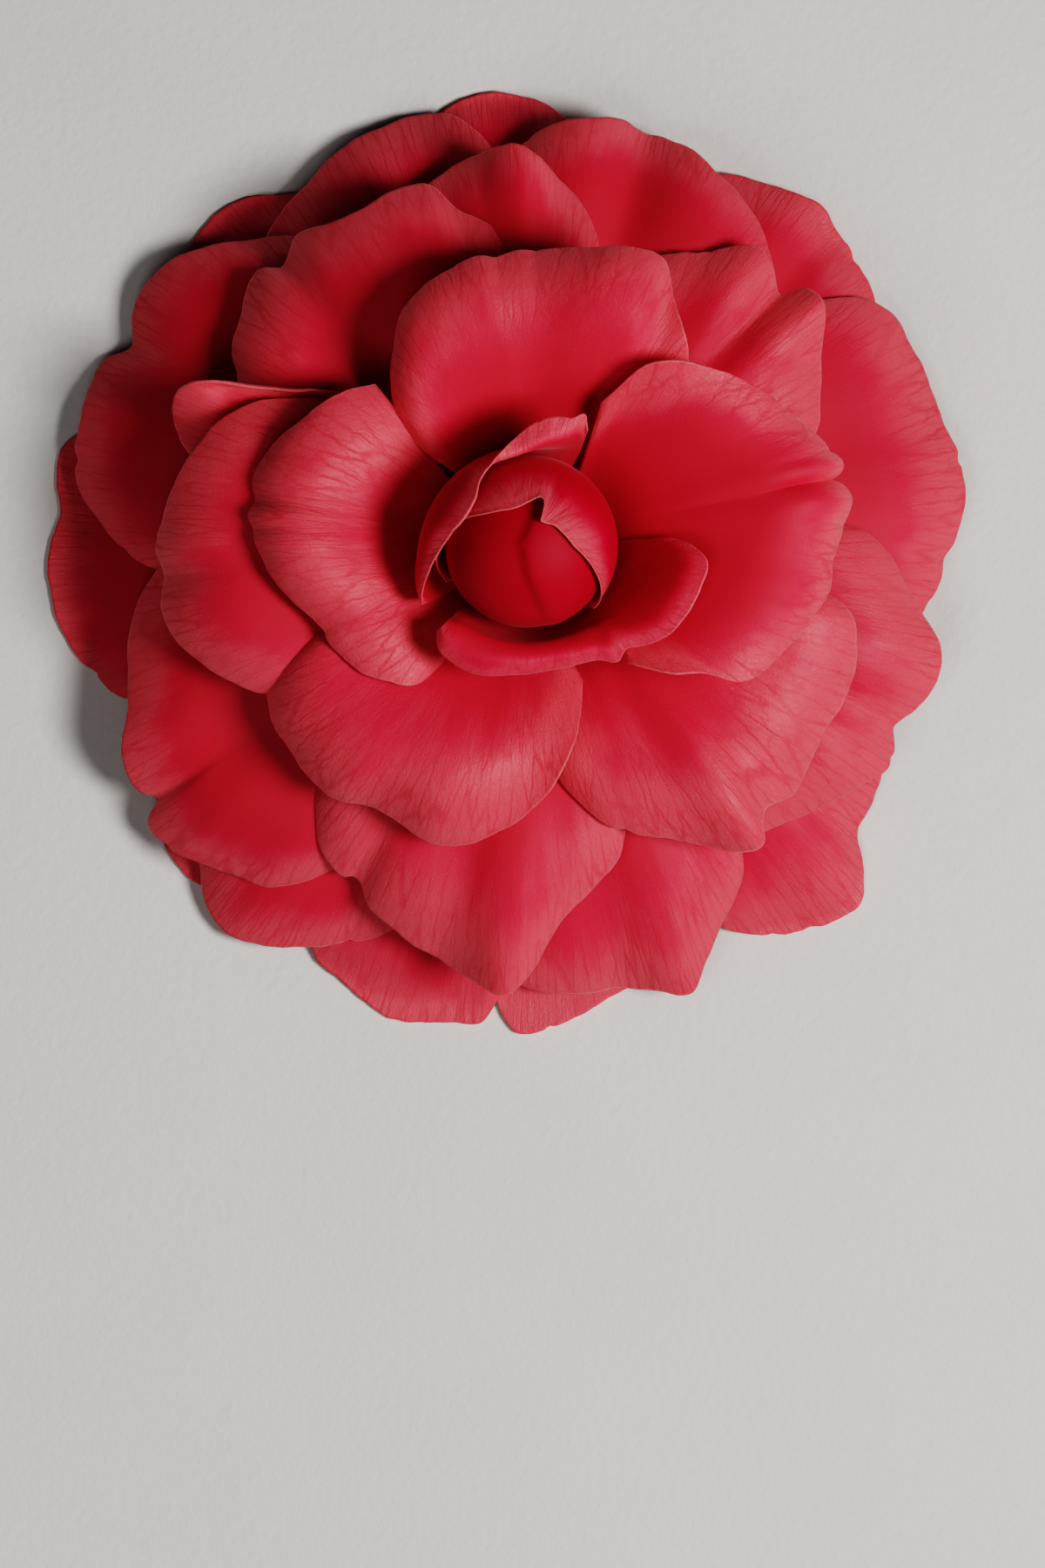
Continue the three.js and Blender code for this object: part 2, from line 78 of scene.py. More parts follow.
# %% Wrap a node's output so that sums can be written out
class Flow:
    """An output of a node. Arithmetic on it adds Math nodes and gives the result's output."""

    def __init__(self, board, socket):
        self.board = board
        self.socket = socket

    def of(self, name):
        """Another output of the same node."""
        return Flow(self.board, pick(self.socket.node.outputs, name))

    def math(self, operation, *inputs):
        return self.board.node("ShaderNodeMath", {"operation": operation}, dict(enumerate(inputs)))

    def __add__(self, other):
        return self.math("ADD", self, other)

    def __radd__(self, other):
        return self.math("ADD", other, self)

    def __sub__(self, other):
        return self.math("SUBTRACT", self, other)

    def __rsub__(self, other):
        return self.math("SUBTRACT", other, self)

    def __mul__(self, other):
        return self.math("MULTIPLY", self, other)

    def __rmul__(self, other):
        return self.math("MULTIPLY", other, self)

    def __truediv__(self, other):
        return self.math("DIVIDE", self, other)

    def __rtruediv__(self, other):
        return self.math("DIVIDE", other, self)

    def __pow__(self, other):
        return self.math("POWER", self, other)

    def __abs__(self):
        return self.math("ABSOLUTE", self)


def pick(sockets, key):
    """A node's socket by its name, or by its number among those in use."""
    in_use = [socket for socket in sockets if socket.enabled]
    if isinstance(key, int):
        return in_use[key]
    return next(socket for socket in in_use if socket.name == key)


# %% [markdown]
# The board is the tree that is being wired. Its one method makes a node, sets it up, and then fills
# its inputs with plain values or with the outputs of other nodes. The few helpers after it are the
# ones that every tree here needs: the parts of a vector, a vector from its parts, a soft step from
# 0 to 1, a smooth noise, and a blend of two colours.


# %% The board that nodes are placed on
class Board:
    """A node tree being wired."""

    def __init__(self, tree):
        self.tree = tree

    def node(self, kind, settings=None, inputs=None, output=0):
        made = self.tree.nodes.new(kind)
        for name, setting in (settings or {}).items():
            setattr(made, name, setting)
        for key, value in (inputs or {}).items():
            socket = pick(made.inputs, key)
            for each in value if isinstance(value, list) else [value]:
                if isinstance(each, Flow):
                    self.tree.links.new(each.socket, socket)
                else:
                    socket.default_value = each
        return Flow(self, pick(made.outputs, output)) if made.outputs else made


def parts(vector):
    """The x, y and z of a vector."""
    split = vector.board.node("ShaderNodeSeparateXYZ", {}, {0: vector})
    return split, split.of("Y"), split.of("Z")


def joined(board, x, y, z):
    """A vector from its x, y and z."""
    return board.node("ShaderNodeCombineXYZ", {}, {0: x, 1: y, 2: z})


def step(value, low, high):
    """0 up to low, 1 from high, and a soft rise between them."""
    ends = {"Value": value, "From Min": low, "From Max": high}
    return value.board.node("ShaderNodeMapRange", {"interpolation_type": "SMOOTHSTEP"}, ends)


def smaller(value, other):
    return value.math("MINIMUM", value, other)


def larger(value, other):
    return value.math("MAXIMUM", value, other)


def sine(value):
    return value.math("SINE", value)


def cosine(value):
    return value.math("COSINE", value)


def noise(vector, scale, detail=2.0, roughness=0.5, distortion=0.0):
    """A smooth noise, mostly between 0.25 and 0.75."""
    inputs = {"Vector": vector, "Scale": scale, "Detail": detail, "Roughness": roughness}
    inputs["Distortion"] = distortion
    return vector.board.node("ShaderNodeTexNoise", {}, inputs)


def blend(factor, first, second):
    """The first colour where the factor is 0, the second where it is 1, and a mix between."""
    inputs = {"Factor": factor, "A": first, "B": second}
    return factor.board.node("ShaderNodeMix", {"data_type": "RGBA"}, inputs)


# %% [markdown]
# Four more helpers serve every piece: one puts a finished thing into the scene, one gives each point
# of a mesh a value that materials and trees can read, one makes a random generator that is seeded
# with a name, and one writes a colour.


# %% Helpers for objects and values
def placed(name, data):
    """An object at the origin of the scene with this mesh, lamp or camera."""
    thing = bpy.data.objects.new(name, data)
    bpy.context.scene.collection.objects.link(thing)
    return thing


def write_values(mesh, label, values):
    """Gives every point of a mesh its value under this label."""
    made = mesh.attributes.new(label, "FLOAT", "POINT")
    made.data.foreach_set("value", np.asarray(values, np.float32).ravel())


def seeded(name):
    """A random generator that always gives the same numbers for the same name."""
    return np.random.default_rng(sum(ord(letter) * (place + 1) for place, letter in enumerate(name)))


def rgb(red, green, blue):
    return (red, green, blue, 1.0)


# %% [markdown]
# ## The skin of a petal
#
# A camellia petal is crimson all through, and its colour here also paints light and shade. Near its
# claw, down in the throat and where the petals above overlap it, a deeper red is painted shade; towards
# the rim a rosy band is painted sheen, the light that a waxy, velvety skin scatters. The free edge itself
# is a thin paler line, partly thinner skin and partly painted highlight. Fine darker veins fan out from
# the claw about a millimetre apart, and fork. Tiny painted glints, pale specks on the rosy band, stand
# for the sparkle of the skin's cells.
#
# A picture could be laid on each petal, but a pattern worked out from the petal's own coordinates
# follows its shape and stays sharp at any distance. Each petal carries a map that says how far a
# point lies across it and how far out from the claw, and a value that says how many millimetres it
# is from the rim. The veins are the borders between the cells of a Voronoi pattern that is stretched
# along the petal: such borders run outwards, meet and fork like real veins.


# %% Helpers for surface materials
def surface(name, fixed):
    """A material with a Principled surface and the sockets that are the same all over it."""
    material = bpy.data.materials.new(name)
    material.use_nodes = True
    shader = material.node_tree.nodes["Principled BSDF"]
    for socket, value in fixed.items():
        shader.inputs[socket].default_value = value
    return material, Board(material.node_tree), shader


def feed(board, shader, socket, value):
    board.tree.links.new(value.socket, shader.inputs[socket])


def relief(board, shader, height, depth):
    """Bumps the surface by a height between 0 and 1 that stands for a depth in metres."""
    feed(board, shader, "Normal", board.node("ShaderNodeBump", {}, {"Height": height, "Distance": depth}))


def carried(board, label):
    """A value that the mesh carries under this label."""
    return board.node("ShaderNodeAttribute", {"attribute_name": label}, {}, "Fac")


def object_place(board):
    return board.node("ShaderNodeTexCoord", {}, {}, "Object")


def petal_map(board):
    """How far across the petal a point lies, and how far out from its claw."""
    across, out, _ = parts(board.node("ShaderNodeUVMap", {"uv_map": "UVMap"}))
    return across, out


# %% Values of the skin, and the net of veins
VEINS_ACROSS = 36.0  # cells across a petal about 45 mm wide, so about one to each millimetre of rim
VEINS_ALONG = 3.2  # cells from claw to rim
VEIN_EDGE = 0.13  # how far into a cell the darker vein reaches
# painted light: over this band the skin goes from painted shade, deep red, to painted sheen, rosy
PAINTED_SHEEN_BAND = 15.5  # mm from the rim over which the skin turns from deep red to rosy
ROSY_STREAKS = 12.0  # mm by which streaks along the petal shift that band
ROSY_CLOUDS = 9.0  # mm by which soft clouds shift it
# the pale line at the edge is partly thinner skin and partly painted highlight
PALE_LINE = (0.05, 0.25)  # mm from the rim over which the pale line at the edge fades
SKIN_RELIEF = 0.14 * MM


def vein_net(board, across, out, shift):
    """1 on the borders of long cells, 0 away from them."""
    place = joined(board, across + shift, out + shift, 0.0)
    settings = {"voronoi_dimensions": "2D", "feature": "DISTANCE_TO_EDGE"}
    distance = board.node("ShaderNodeTexVoronoi", settings, {"Vector": place, "Scale": 1.0}, "Distance")
    return 1.0 - step(distance, 0.0, VEIN_EDGE)


# %% The petal material
def petal_material(name, shade_and_vein_red, body, sheen_and_underside_rosy, rim, sheen):
    """Crimson skin that reads how far across and out a point lies, and which petal it is on; it paints shade
    towards the claw and sheen towards the rim.
    """
    fixed = {
        "IOR": 1.4,
        "Specular IOR Level": 0.6,
        "Subsurface Weight": 0.3,
        "Subsurface Radius": (1.0, 0.06, 0.08),
        "Subsurface Scale": 0.0016,
        "Sheen Weight": sheen,
        "Sheen Roughness": 0.35,
        "Sheen Tint": (1.0, 0.55, 0.55, 1.0),
    }
    material, board, shader = surface(name, fixed)
    across, out = petal_map(board)
    which, under, gap = (carried(board, label) for label in ("petal_number", "under", "from_rim"))
    place = object_place(board)
    cloud = noise(place, 90.0, 3.0, 0.55)
    streak = noise(joined(board, across * 8.0, out * 1.6, which + 4.0), 1.0, 3.0, 0.6)
    grain = noise(place, 3600.0, 2.0, 0.7)
    # 0 towards the claw, where deep red paints shade, and 1 near the rim, where rosy paints sheen
    shifted = gap + (streak - 0.5) * ROSY_STREAKS + (cloud - 0.5) * ROSY_CLOUDS
    painted_light_band = 1.0 - step(shifted, 0.0, PAINTED_SHEEN_BAND)

    # a net of veins that wanders a little, and a finer one between
    wander = noise(place, 700.0, 2.0) - 0.5
    line = across * VEINS_ACROSS + wander * 0.4
    vein = vein_net(board, line, out * VEINS_ALONG, which * 13.7)
    veinlet = vein_net(board, line * 2.1, out * VEINS_ALONG * 2.6, which * 5.3)
    shown = step(painted_light_band, 0.05, 0.8) * (0.45 + step(noise(place, 130.0, 2.0), 0.4, 0.65) * 0.55)
    veins = smaller(vein * 0.8 + veinlet * 0.45, 1.0) * shown
    pucker = noise(joined(board, line * 0.8, out * VEINS_ALONG * 3.0, which), 1.0, 3.0, 0.65)
    # painted glints where the skin's cells would catch the light; the skin is a little smoother there too
    painted_glint = step(grain, 0.61, 0.7) * painted_light_band

    # painted shade towards the claw and painted sheen towards the rim
    colour = blend(step(painted_light_band, 0.0, 0.5), shade_and_vein_red, body)
    colour = blend(step(painted_light_band, 0.3, 1.0), colour, sheen_and_underside_rosy)
    colour = blend(veins * 0.55, colour, shade_and_vein_red)
    # painted glints: pale specks on the rosy band
    colour = blend(painted_glint * 0.36, colour, rim)
    # the pale edge line, partly thinner skin and partly painted highlight
    colour = blend((1.0 - step(gap, *PALE_LINE)) * 0.45, colour, rim)
    colour = blend(under * 0.3, colour, sheen_and_underside_rosy)
    feed(board, shader, "Base Color", colour)
    matt = 0.62 - painted_light_band * 0.12 + (cloud - 0.5) * 0.2
    feed(board, shader, "Roughness", matt + veins * 0.15 - painted_glint * 0.14)
    rough = (grain - 0.5) * (0.15 + painted_light_band * 0.35) + (pucker - 0.5) * 0.7 * painted_light_band
    relief(board, shader, 0.5 - veins * 0.2 + rough, SKIN_RELIEF)
    return material


# %% [markdown]
# Two skins are made from it. The heart of the bud and the lip below it are the youngest skin that
# shows: a little darker, less velvety, and with a weaker painted rosy sheen.

# %% Petal skin and bud skin
# pale colour of the edge line, partly thinner skin and partly painted highlight, and of the painted glints
PALE_EDGE_AND_GLINT = rgb(0.85, 0.26, 0.26)
# the deep red paints shade near the claw and colours the veins; the rosy colour paints sheen near the rim and
# tints the lower skin
PETAL_SKIN = petal_material(
    "petal_skin",
    shade_and_vein_red=rgb(0.57, 0.0003, 0.036),
    body=rgb(0.65, 0.0060, 0.058),
    sheen_and_underside_rosy=rgb(0.81, 0.130, 0.158),
    rim=PALE_EDGE_AND_GLINT,
    sheen=0.22,
)
BUD_SKIN = petal_material(
    "bud_skin",
    shade_and_vein_red=rgb(0.46, 0.0003, 0.030),
    body=rgb(0.64, 0.0060, 0.058),
    sheen_and_underside_rosy=rgb(0.77, 0.092, 0.130),
    rim=PALE_EDGE_AND_GLINT,
    sheen=0.15,
)
print("petal materials:", PETAL_SKIN.name, BUD_SKIN.name)

# %% [markdown]
# ## The rule that every petal follows
#
# Camellia petals are laid over one another in rings. Each grows from a narrow claw on the receptacle,
# rises, and bows outwards, and a petal nearer the bud lies in a deeper bowl than those outside it.
# Giving each petal a level, and each level a bowl, keeps petals from cutting through one another, but
# for slivers at their hidden sides. The values are those of the construction model, in millimetres:
# below level 0 lie the sepals and bracts, which start further out and lower.

# %% Bowls by level
CLAW_RADIUS = 8.6  # at level 0
CLAW_TAPER = 0.55  # how much nearer the axis the claws of each higher level start
CALYX_TAPER = 2.2  # the same for each level below 0
CLAW_HEIGHT = 8.5  # at level 0
CLAW_STEP = 1.15  # from one level to the next
CALYX_STEP = 1.6  # the same below level 0
CLAW_HALF_WIDTH = 2.4
SCALE_CLAW_HALF_WIDTH = 3.0
BOWL_RUN = 13.0  # how far out a bowl has done most of its rising
DROOP_REACH = 45.0  # how far out it has lost the whole of its droop


def bowl(level):
    """Where a petal of this level starts, how high it rises and how far it droops, in mm."""
    taper = CALYX_TAPER if level < 0 else -CLAW_TAPER
    upward = CALYX_STEP if level < 0 else CLAW_STEP
    return {
        "Claw reach": CLAW_RADIUS + taper * level,
        "Claw height": CLAW_HEIGHT + upward * level,
        "Rise": 4.0 + 1.1 * level + 0.17 * level * level,
        "Droop": 15.2 - 1.6 * level,
    }


print("bowl of a guard petal:", bowl(0.0))
print("bowl of an inner petal:", bowl(6.5))

# %% [markdown]
# ## A petal's free edge
#
# The edge is given by a few points, each a bearing round the flower's axis and a reach from it. A
# smooth curve joins them. Real edges are never quite smooth: they waver, and here and there a small
# nick or dent was left by wind or an insect, so a few shallow waves and dents are added, drawn from a
# generator that is seeded with the petal's name and so always gives the same ones.
#
# The edge becomes a string of points that carries what the petal does there: how strongly it is
# ridged or creased, and how far it rolls over.


# %% Smooth curves and bearings
def smooth_curve(points, count):
    """Points along a centripetal Catmull-Rom curve, evenly many to each stretch."""
    line = np.array(points, float)
    line = np.vstack([2 * line[0] - line[1], line, 2 * line[-1] - line[-2]])
    stretches = len(points) - 1
    spots = []
    for place in np.linspace(0, stretches, count):
        first = min(int(place), stretches - 1)
        p0, p1, p2, p3 = line[first : first + 4]
        gaps = [max(np.linalg.norm(b - a), 1e-9) ** 0.5 for a, b in ((p0, p1), (p1, p2), (p2, p3))]
        leave = ((p1 - p0) / gaps[0] - (p2 - p0) / (gaps[0] + gaps[1]) + (p2 - p1) / gaps[1]) * gaps[1]
        arrive = ((p2 - p1) / gaps[1] - (p3 - p1) / (gaps[1] + gaps[2]) + (p3 - p2) / gaps[2]) * gaps[1]
        t = place - first
        spots.append(
            p1 * (2 * t**3 - 3 * t**2 + 1)
            + leave * (t**3 - 2 * t**2 + t)
            + p2 * (3 * t**2 - 2 * t**3)
            + arrive * (t**3 - t**2)
        )
    return np.array(spots)


def around_axis(bearing, reach):
    angle = np.radians(bearing)
    return np.stack([reach * np.cos(angle), reach * np.sin(angle)], -1)


def near(bearing, middle, width):
    """1 at the middle bearing, falling to almost 0 at twice the width from it."""
    return np.exp(-((((bearing - middle + 180) % 360 - 180) / width) ** 2))


# %% Draw a petal's edge
WAVES = ((13.0, 0.2), (5.2, 0.07), (2.1, 0.025))  # length and height of the edge's waves, in mm
DENT_PLACE = (0.12, 0.88)  # where dents may lie, as shares of the edge's length
DENT_WIDTH = (0.4, 1.0)  # mm
DENT_DEPTH = (0.12, 0.4)  # mm
QUIET_ENDS = 4  # mm at both ends of the edge over which waves and dents fade in
TIP_UNROLL = 9  # degrees less of turn for each mm by which a ridge stands up
EDGE_POINTS = 100


def petal_edge(name, rim, marks, turn, roll, curls=(), raised=0.0, waviness=1.0, count=EDGE_POINTS):
    """The smooth edge in mm, and at each of its points the petal's lift, turn and length of roll."""
    draw = seeded(name)
    corners = np.array(rim, float)
    edge = smooth_curve(around_axis(corners[:, 0], corners[:, 1]), count)
    length = np.concatenate([[0], np.cumsum(np.linalg.norm(np.diff(edge, axis=0), axis=1))])
    fade = np.minimum(1, np.minimum(length, length[-1] - length) / QUIET_ENDS)
    change = sum(
        height * waviness * np.sin(2 * np.pi * length / wave + draw.uniform(0, 6.28))
        for wave, height in WAVES
    )
    for _ in range(draw.integers(1, 4)):
        where = draw.uniform(*DENT_PLACE) * length[-1]
        dent = np.exp(-(((length - where) / draw.uniform(*DENT_WIDTH)) ** 2))
        change -= draw.uniform(*DENT_DEPTH) * waviness * dent
    reach = np.linalg.norm(edge, axis=1)
    edge = edge * (1 + change * fade / reach)[:, None]
    bearing = np.degrees(np.arctan2(edge[:, 1], edge[:, 0]))
    lift = np.full(count, raised)
    share = np.linalg.norm(edge, axis=1) / corners[:, 1].max()
    turns = turn * (0.4 + 0.6 * np.minimum(share, 1) ** 3)
    for middle, height, width in marks:
        here = near(bearing, middle, width)
        lift += height * here
        turns -= TIP_UNROLL * max(height, 0) * here  # a pointed tip reaches out, it doesn't roll under
    rolled = roll * share**1.5
    for middle, degrees, width, *tightness in curls:
        here = near(bearing, middle, width)
        turns += degrees * here
        rolled *= 1 - sum(tightness) * here
    return edge, {"lift": lift * MM, "turn": np.radians(turns), "roll": rolled * MM}


def edge_object(name, edge, carried):
    """A string of points that carries the petal's lift, turn and roll, for the tree to read."""
    mesh = bpy.data.meshes.new(name)
    ends = np.arange(len(edge) - 1)
    mesh.from_pydata(np.column_stack([edge * MM, np.zeros(len(edge))]), np.column_stack([ends, ends + 1]), [])
    for label, values in carried.items():
        write_values(mesh, label, values)
    return placed(name, mesh)


# %% [markdown]
# ## Finishing a sheet
#
# Every petal, whatever its shape, ends the same way: fine ridges run out along its veins, a second
# skin is laid under the first at a petal's thickness, and the two are closed round the edge. One node
# group does this for all. The second skin is an extrusion of the first turned upside down, so all
# faces of the closed sheet point outwards. A petal is thickest in the middle, and thin at the edge.


# %% Trees for geometry
def geometry_board(name, wants):
    """A Geometry Nodes tree with these named inputs, as a board, with its input node."""
    tree = bpy.data.node_groups.new(name, "GeometryNodeTree")
    kinds = {float: "NodeSocketFloat", int: "NodeSocketInt", "mesh": "NodeSocketGeometry"}
    kinds["material"] = "NodeSocketMaterial"
    for label, kind in wants.items():
        tree.interface.new_socket(label, in_out="INPUT", socket_type=kinds[kind])
    tree.interface.new_socket("Mesh", in_out="OUTPUT", socket_type="NodeSocketGeometry")
    board = Board(tree)
    return board, board.node("NodeGroupInput")


def deliver(board, mesh, material):
    """Ends a tree: instances made real, smooth shading and the material."""
    mesh = board.node("GeometryNodeRealizeInstances", {}, {0: mesh})
    mesh = board.node("GeometryNodeSetShadeSmooth", {}, {0: mesh})
    mesh = board.node("GeometryNodeSetMaterial", {}, {"Geometry": mesh, "Material": material})
    board.node("NodeGroupOutput", {}, {"Mesh": mesh})


def store(mesh, label, value, domain="POINT", kind="FLOAT", where=None):
    inputs = {"Geometry": mesh, "Name": label, "Value": value}
    if where is not None:
        inputs["Selection"] = where
    return mesh.board.node("GeometryNodeStoreNamedAttribute", {"data_type": kind, "domain": domain}, inputs)


def recall(board, label):
    return board.node("GeometryNodeInputNamedAttribute", {"data_type": "FLOAT"}, {"Name": label})


# %% The finish that all sheets share
SHEET_INPUTS = {
    "Thickness": float,
    "Edge thickness": float,
    "Ridge height": float,
    "Ridges across": float,
    "Swell height": float,
    "Petal number": float,
    "Skin": "material",
}
WELD = 1e-7  # metres; points of the two skins that lie this near each other become one


def sheet_finish():
    board, given = geometry_board("sheet finish", {"Sheet": "mesh"} | SHEET_INPUTS)
    across, out = recall(board, "across"), recall(board, "out")
    normal = board.node("GeometryNodeInputNormal")
    number = given.of("Petal number")

    ridged = joined(board, across * given.of("Ridges across"), out * 2.4, number)
    swollen = joined(board, across * 3.2, out * 2.6, number + 7.0)
    height = (noise(ridged, 1.0, 2.0) - 0.5) * 2.0 * given.of("Ridge height") * step(out, 0.1, 0.6)
    swell = (noise(swollen, 1.0, 1.0) - 0.5) * 2.0 * given.of("Swell height") * step(out, 0.2, 0.8)
    height = height + swell
    along = board.node("ShaderNodeVectorMath", {"operation": "SCALE"}, {0: normal, "Scale": height})
    skin = board.node("GeometryNodeSetPosition", {}, {"Geometry": given.of("Sheet"), "Offset": along})

    edge = given.of("Edge thickness")
    thick = edge + (given.of("Thickness") - edge) * sine(out * math.pi)
    turned = board.node("GeometryNodeFlipFaces", {}, {0: skin})
    lower = board.node("GeometryNodeExtrudeMesh", {"mode": "FACES"}, {
        "Mesh": turned, "Offset Scale": thick, "Individual": False})
    lower = store(lower, "under", 1.0, where=lower.of("Top"))
    closed = board.node("GeometryNodeJoinGeometry", {}, {0: [skin, lower]})
    closed = board.node("GeometryNodeMergeByDistance", {}, {"Geometry": closed, "Distance": WELD})
    x, y, z = parts(board.node("GeometryNodeInputPosition"))
    closed = board.node("GeometryNodeSetPosition", {}, {
        "Geometry": closed, "Position": joined(board, x, y, larger(z, 0.0))})
    closed = store(closed, "petal_number", number)
    closed = store(closed, "UVMap", joined(board, across, out, 0.0), "CORNER", "FLOAT2")
    deliver(board, closed, given.of("Skin"))
    return board.tree


FINISH = sheet_finish()
print("sheet finish:", len(FINISH.nodes), "nodes")

# %% [markdown]
# ## The petal that fans out from its claw
#
# This tree is the flower's main tool. It starts from a flat grid with one column for each point of the
# edge. Column by column it walks from the claw straight out to the edge, and lifts every point onto
# the bowl of the petal's level. Near the edge it stops walking straight and rolls over an arc, so the
# edge turns down and, with a large turn, back under the petal. Ridges and creases grow towards the
# edge, and a petal that would sink into the table comes to lie on it.
#
# Sculpting every petal by hand would give the same forms once. The tree gives them from a handful of
# numbers each, and every petal can still be changed.


# %% The fan tree
SOFT_LANDING = 0.5 * MM  # how gently a petal goes over from hanging to lying on the table
LEAST_TURN = 0.02  # radians; a roll with no turn at all would have no radius


def petal_fan():
    wants = {"Edge": "mesh", "Rows": int, "Claw bearing": float, "Claw half angle": float}
    wants |= {"Claw reach": float, "Claw height": float, "Rise": float, "Droop": float}
    wants |= {"Ruffle": float, "Crown": float, "Bloom": float}
    board, given = geometry_board("petal fan", wants | SHEET_INPUTS)
    edge = given.of("Edge")
    columns = board.node("GeometryNodeAttributeDomainSize", {}, {"Geometry": edge}, "Point Count")
    size = {"Size X": 1.0, "Size Y": 1.0, "Vertices X": columns, "Vertices Y": given.of("Rows")}
    grid = board.node("GeometryNodeMeshGrid", {}, size)
    flat_x, flat_y, _ = parts(board.node("GeometryNodeInputPosition"))
    grid = store(grid, "across", flat_x + 0.5)
    grid = store(grid, "out", 1.0 - (0.5 - flat_y) ** 1.25)
    across, out = recall(board, "across"), recall(board, "out")

    # what the edge says at this column
    column = (across * (columns - 1.0)).math("ROUND", across * (columns - 1.0))

    def at_edge(value, kind):
        inputs = {"Geometry": edge, "Value": value, "Index": column}
        return board.node("GeometryNodeSampleIndex", {"data_type": kind}, inputs)

    edge_x, edge_y, _ = parts(at_edge(board.node("GeometryNodeInputPosition"), "FLOAT_VECTOR"))
    lift = at_edge(recall(board, "lift"), "FLOAT")
    signed_turn = at_edge(recall(board, "turn"), "FLOAT")
    turn = larger(abs(signed_turn), LEAST_TURN)
    roll = at_edge(recall(board, "roll"), "FLOAT")

    # the straight walk from the claw, then the arc of the roll
    angle = given.of("Claw bearing") + given.of("Claw half angle") * (across * 2.0 - 1.0)
    claw_x = given.of("Claw reach") * cosine(angle)
    claw_y = given.of("Claw reach") * sine(angle)
    run_x, run_y = edge_x - claw_x, edge_y - claw_y
    length = (run_x * run_x + run_y * run_y) ** 0.5
    radius = roll / turn
    widest = smaller(turn, math.pi / 2)
    straight = length - radius * sine(widest)
    walked = out * (straight + roll)
    # mm from the rim, shrunk where the painted rosy sheen should reach further in, as painted light on
    # brighter petals
    grid = store(grid, "from_rim", (straight + roll - walked) * (1 / MM) / given.of("Bloom"))
    past = larger(walked - straight, 0.0)
    bent = past / radius
    along = walked - past + radius * sine(bent)
    drop = radius * (1.0 - cosine(bent)) * signed_turn.math("SIGN", signed_turn)
    x = claw_x + run_x / length * along
    y = claw_y + run_y / length * along

    # up onto the bowl
    reach = (x * x + y * y) ** 0.5
    outward = larger(reach - given.of("Claw reach"), 0.0)
    fall = outward * (-1.0 / (BOWL_RUN * MM))
    height = given.of("Claw height") + given.of("Rise") * (1.0 - fall.math("EXPONENT", fall))
    height = height - given.of("Droop") * (outward * (1 / (DROOP_REACH * MM))) ** 2.0
    height = height + lift * smaller(along / length, 1.0) ** 2.5 - drop
    side = across * 2.0 - 1.0
    height = height + given.of("Crown") * (1.0 - side * side) * step(out, 0.0, 0.8)
    ruffle = noise(joined(board, across * 5.0, out * 1.5, given.of("Petal number") + 3.0), 1.0, 1.0) - 0.5
    height = height + ruffle * 2.0 * given.of("Ruffle") * out ** 5.0

    # and down onto the table at the lowest
    least = given.of("Edge thickness")
    over = smaller((height - least) / SOFT_LANDING, 40.0)  # so that the exponent stays finite
    power = over.math("EXPONENT", over) + 1.0
    rested = least + SOFT_LANDING * power.math("LOGARITHM", power, math.e)
    place = joined(board, x + AXIS.x, y + AXIS.y, larger(height, rested))
    sheet = board.node("GeometryNodeSetPosition", {}, {"Geometry": grid, "Position": place})

    inputs = {label: given.of(label) for label in SHEET_INPUTS} | {"Sheet": sheet}
    finished = board.node("GeometryNodeGroup", {"node_tree": FINISH}, inputs)
    deliver(board, finished, given.of("Skin"))
    return board.tree


FAN = petal_fan()
print("petal fan:", len(FAN.nodes), "nodes")


# %% Run a tree on an object and keep the mesh that it makes
def grown(name, start, tree, inputs):
    """The mesh that a tree makes from an object, as a new plain object."""
    modifier = start.modifiers.new("growth", "NODES")
    modifier.node_group = tree
    for item in tree.interface.items_tree:
        if item.in_out == "INPUT" and item.name in inputs:
            modifier[item.identifier] = inputs[item.name]
    start.update_tag()
    graph = bpy.context.evaluated_depsgraph_get()
    result = start.evaluated_get(graph)
    mesh = bpy.data.meshes.new_from_object(result, preserve_all_data_layers=True, depsgraph=graph)
    mesh.name = name
    start.modifiers.remove(modifier)
    bpy.data.objects.remove(start)
    return placed(name, mesh)


def settle(piece, node):
    """Puts the finished piece under the root body and hides the construction part that it replaces."""
    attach(piece, "root")
    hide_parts(node)
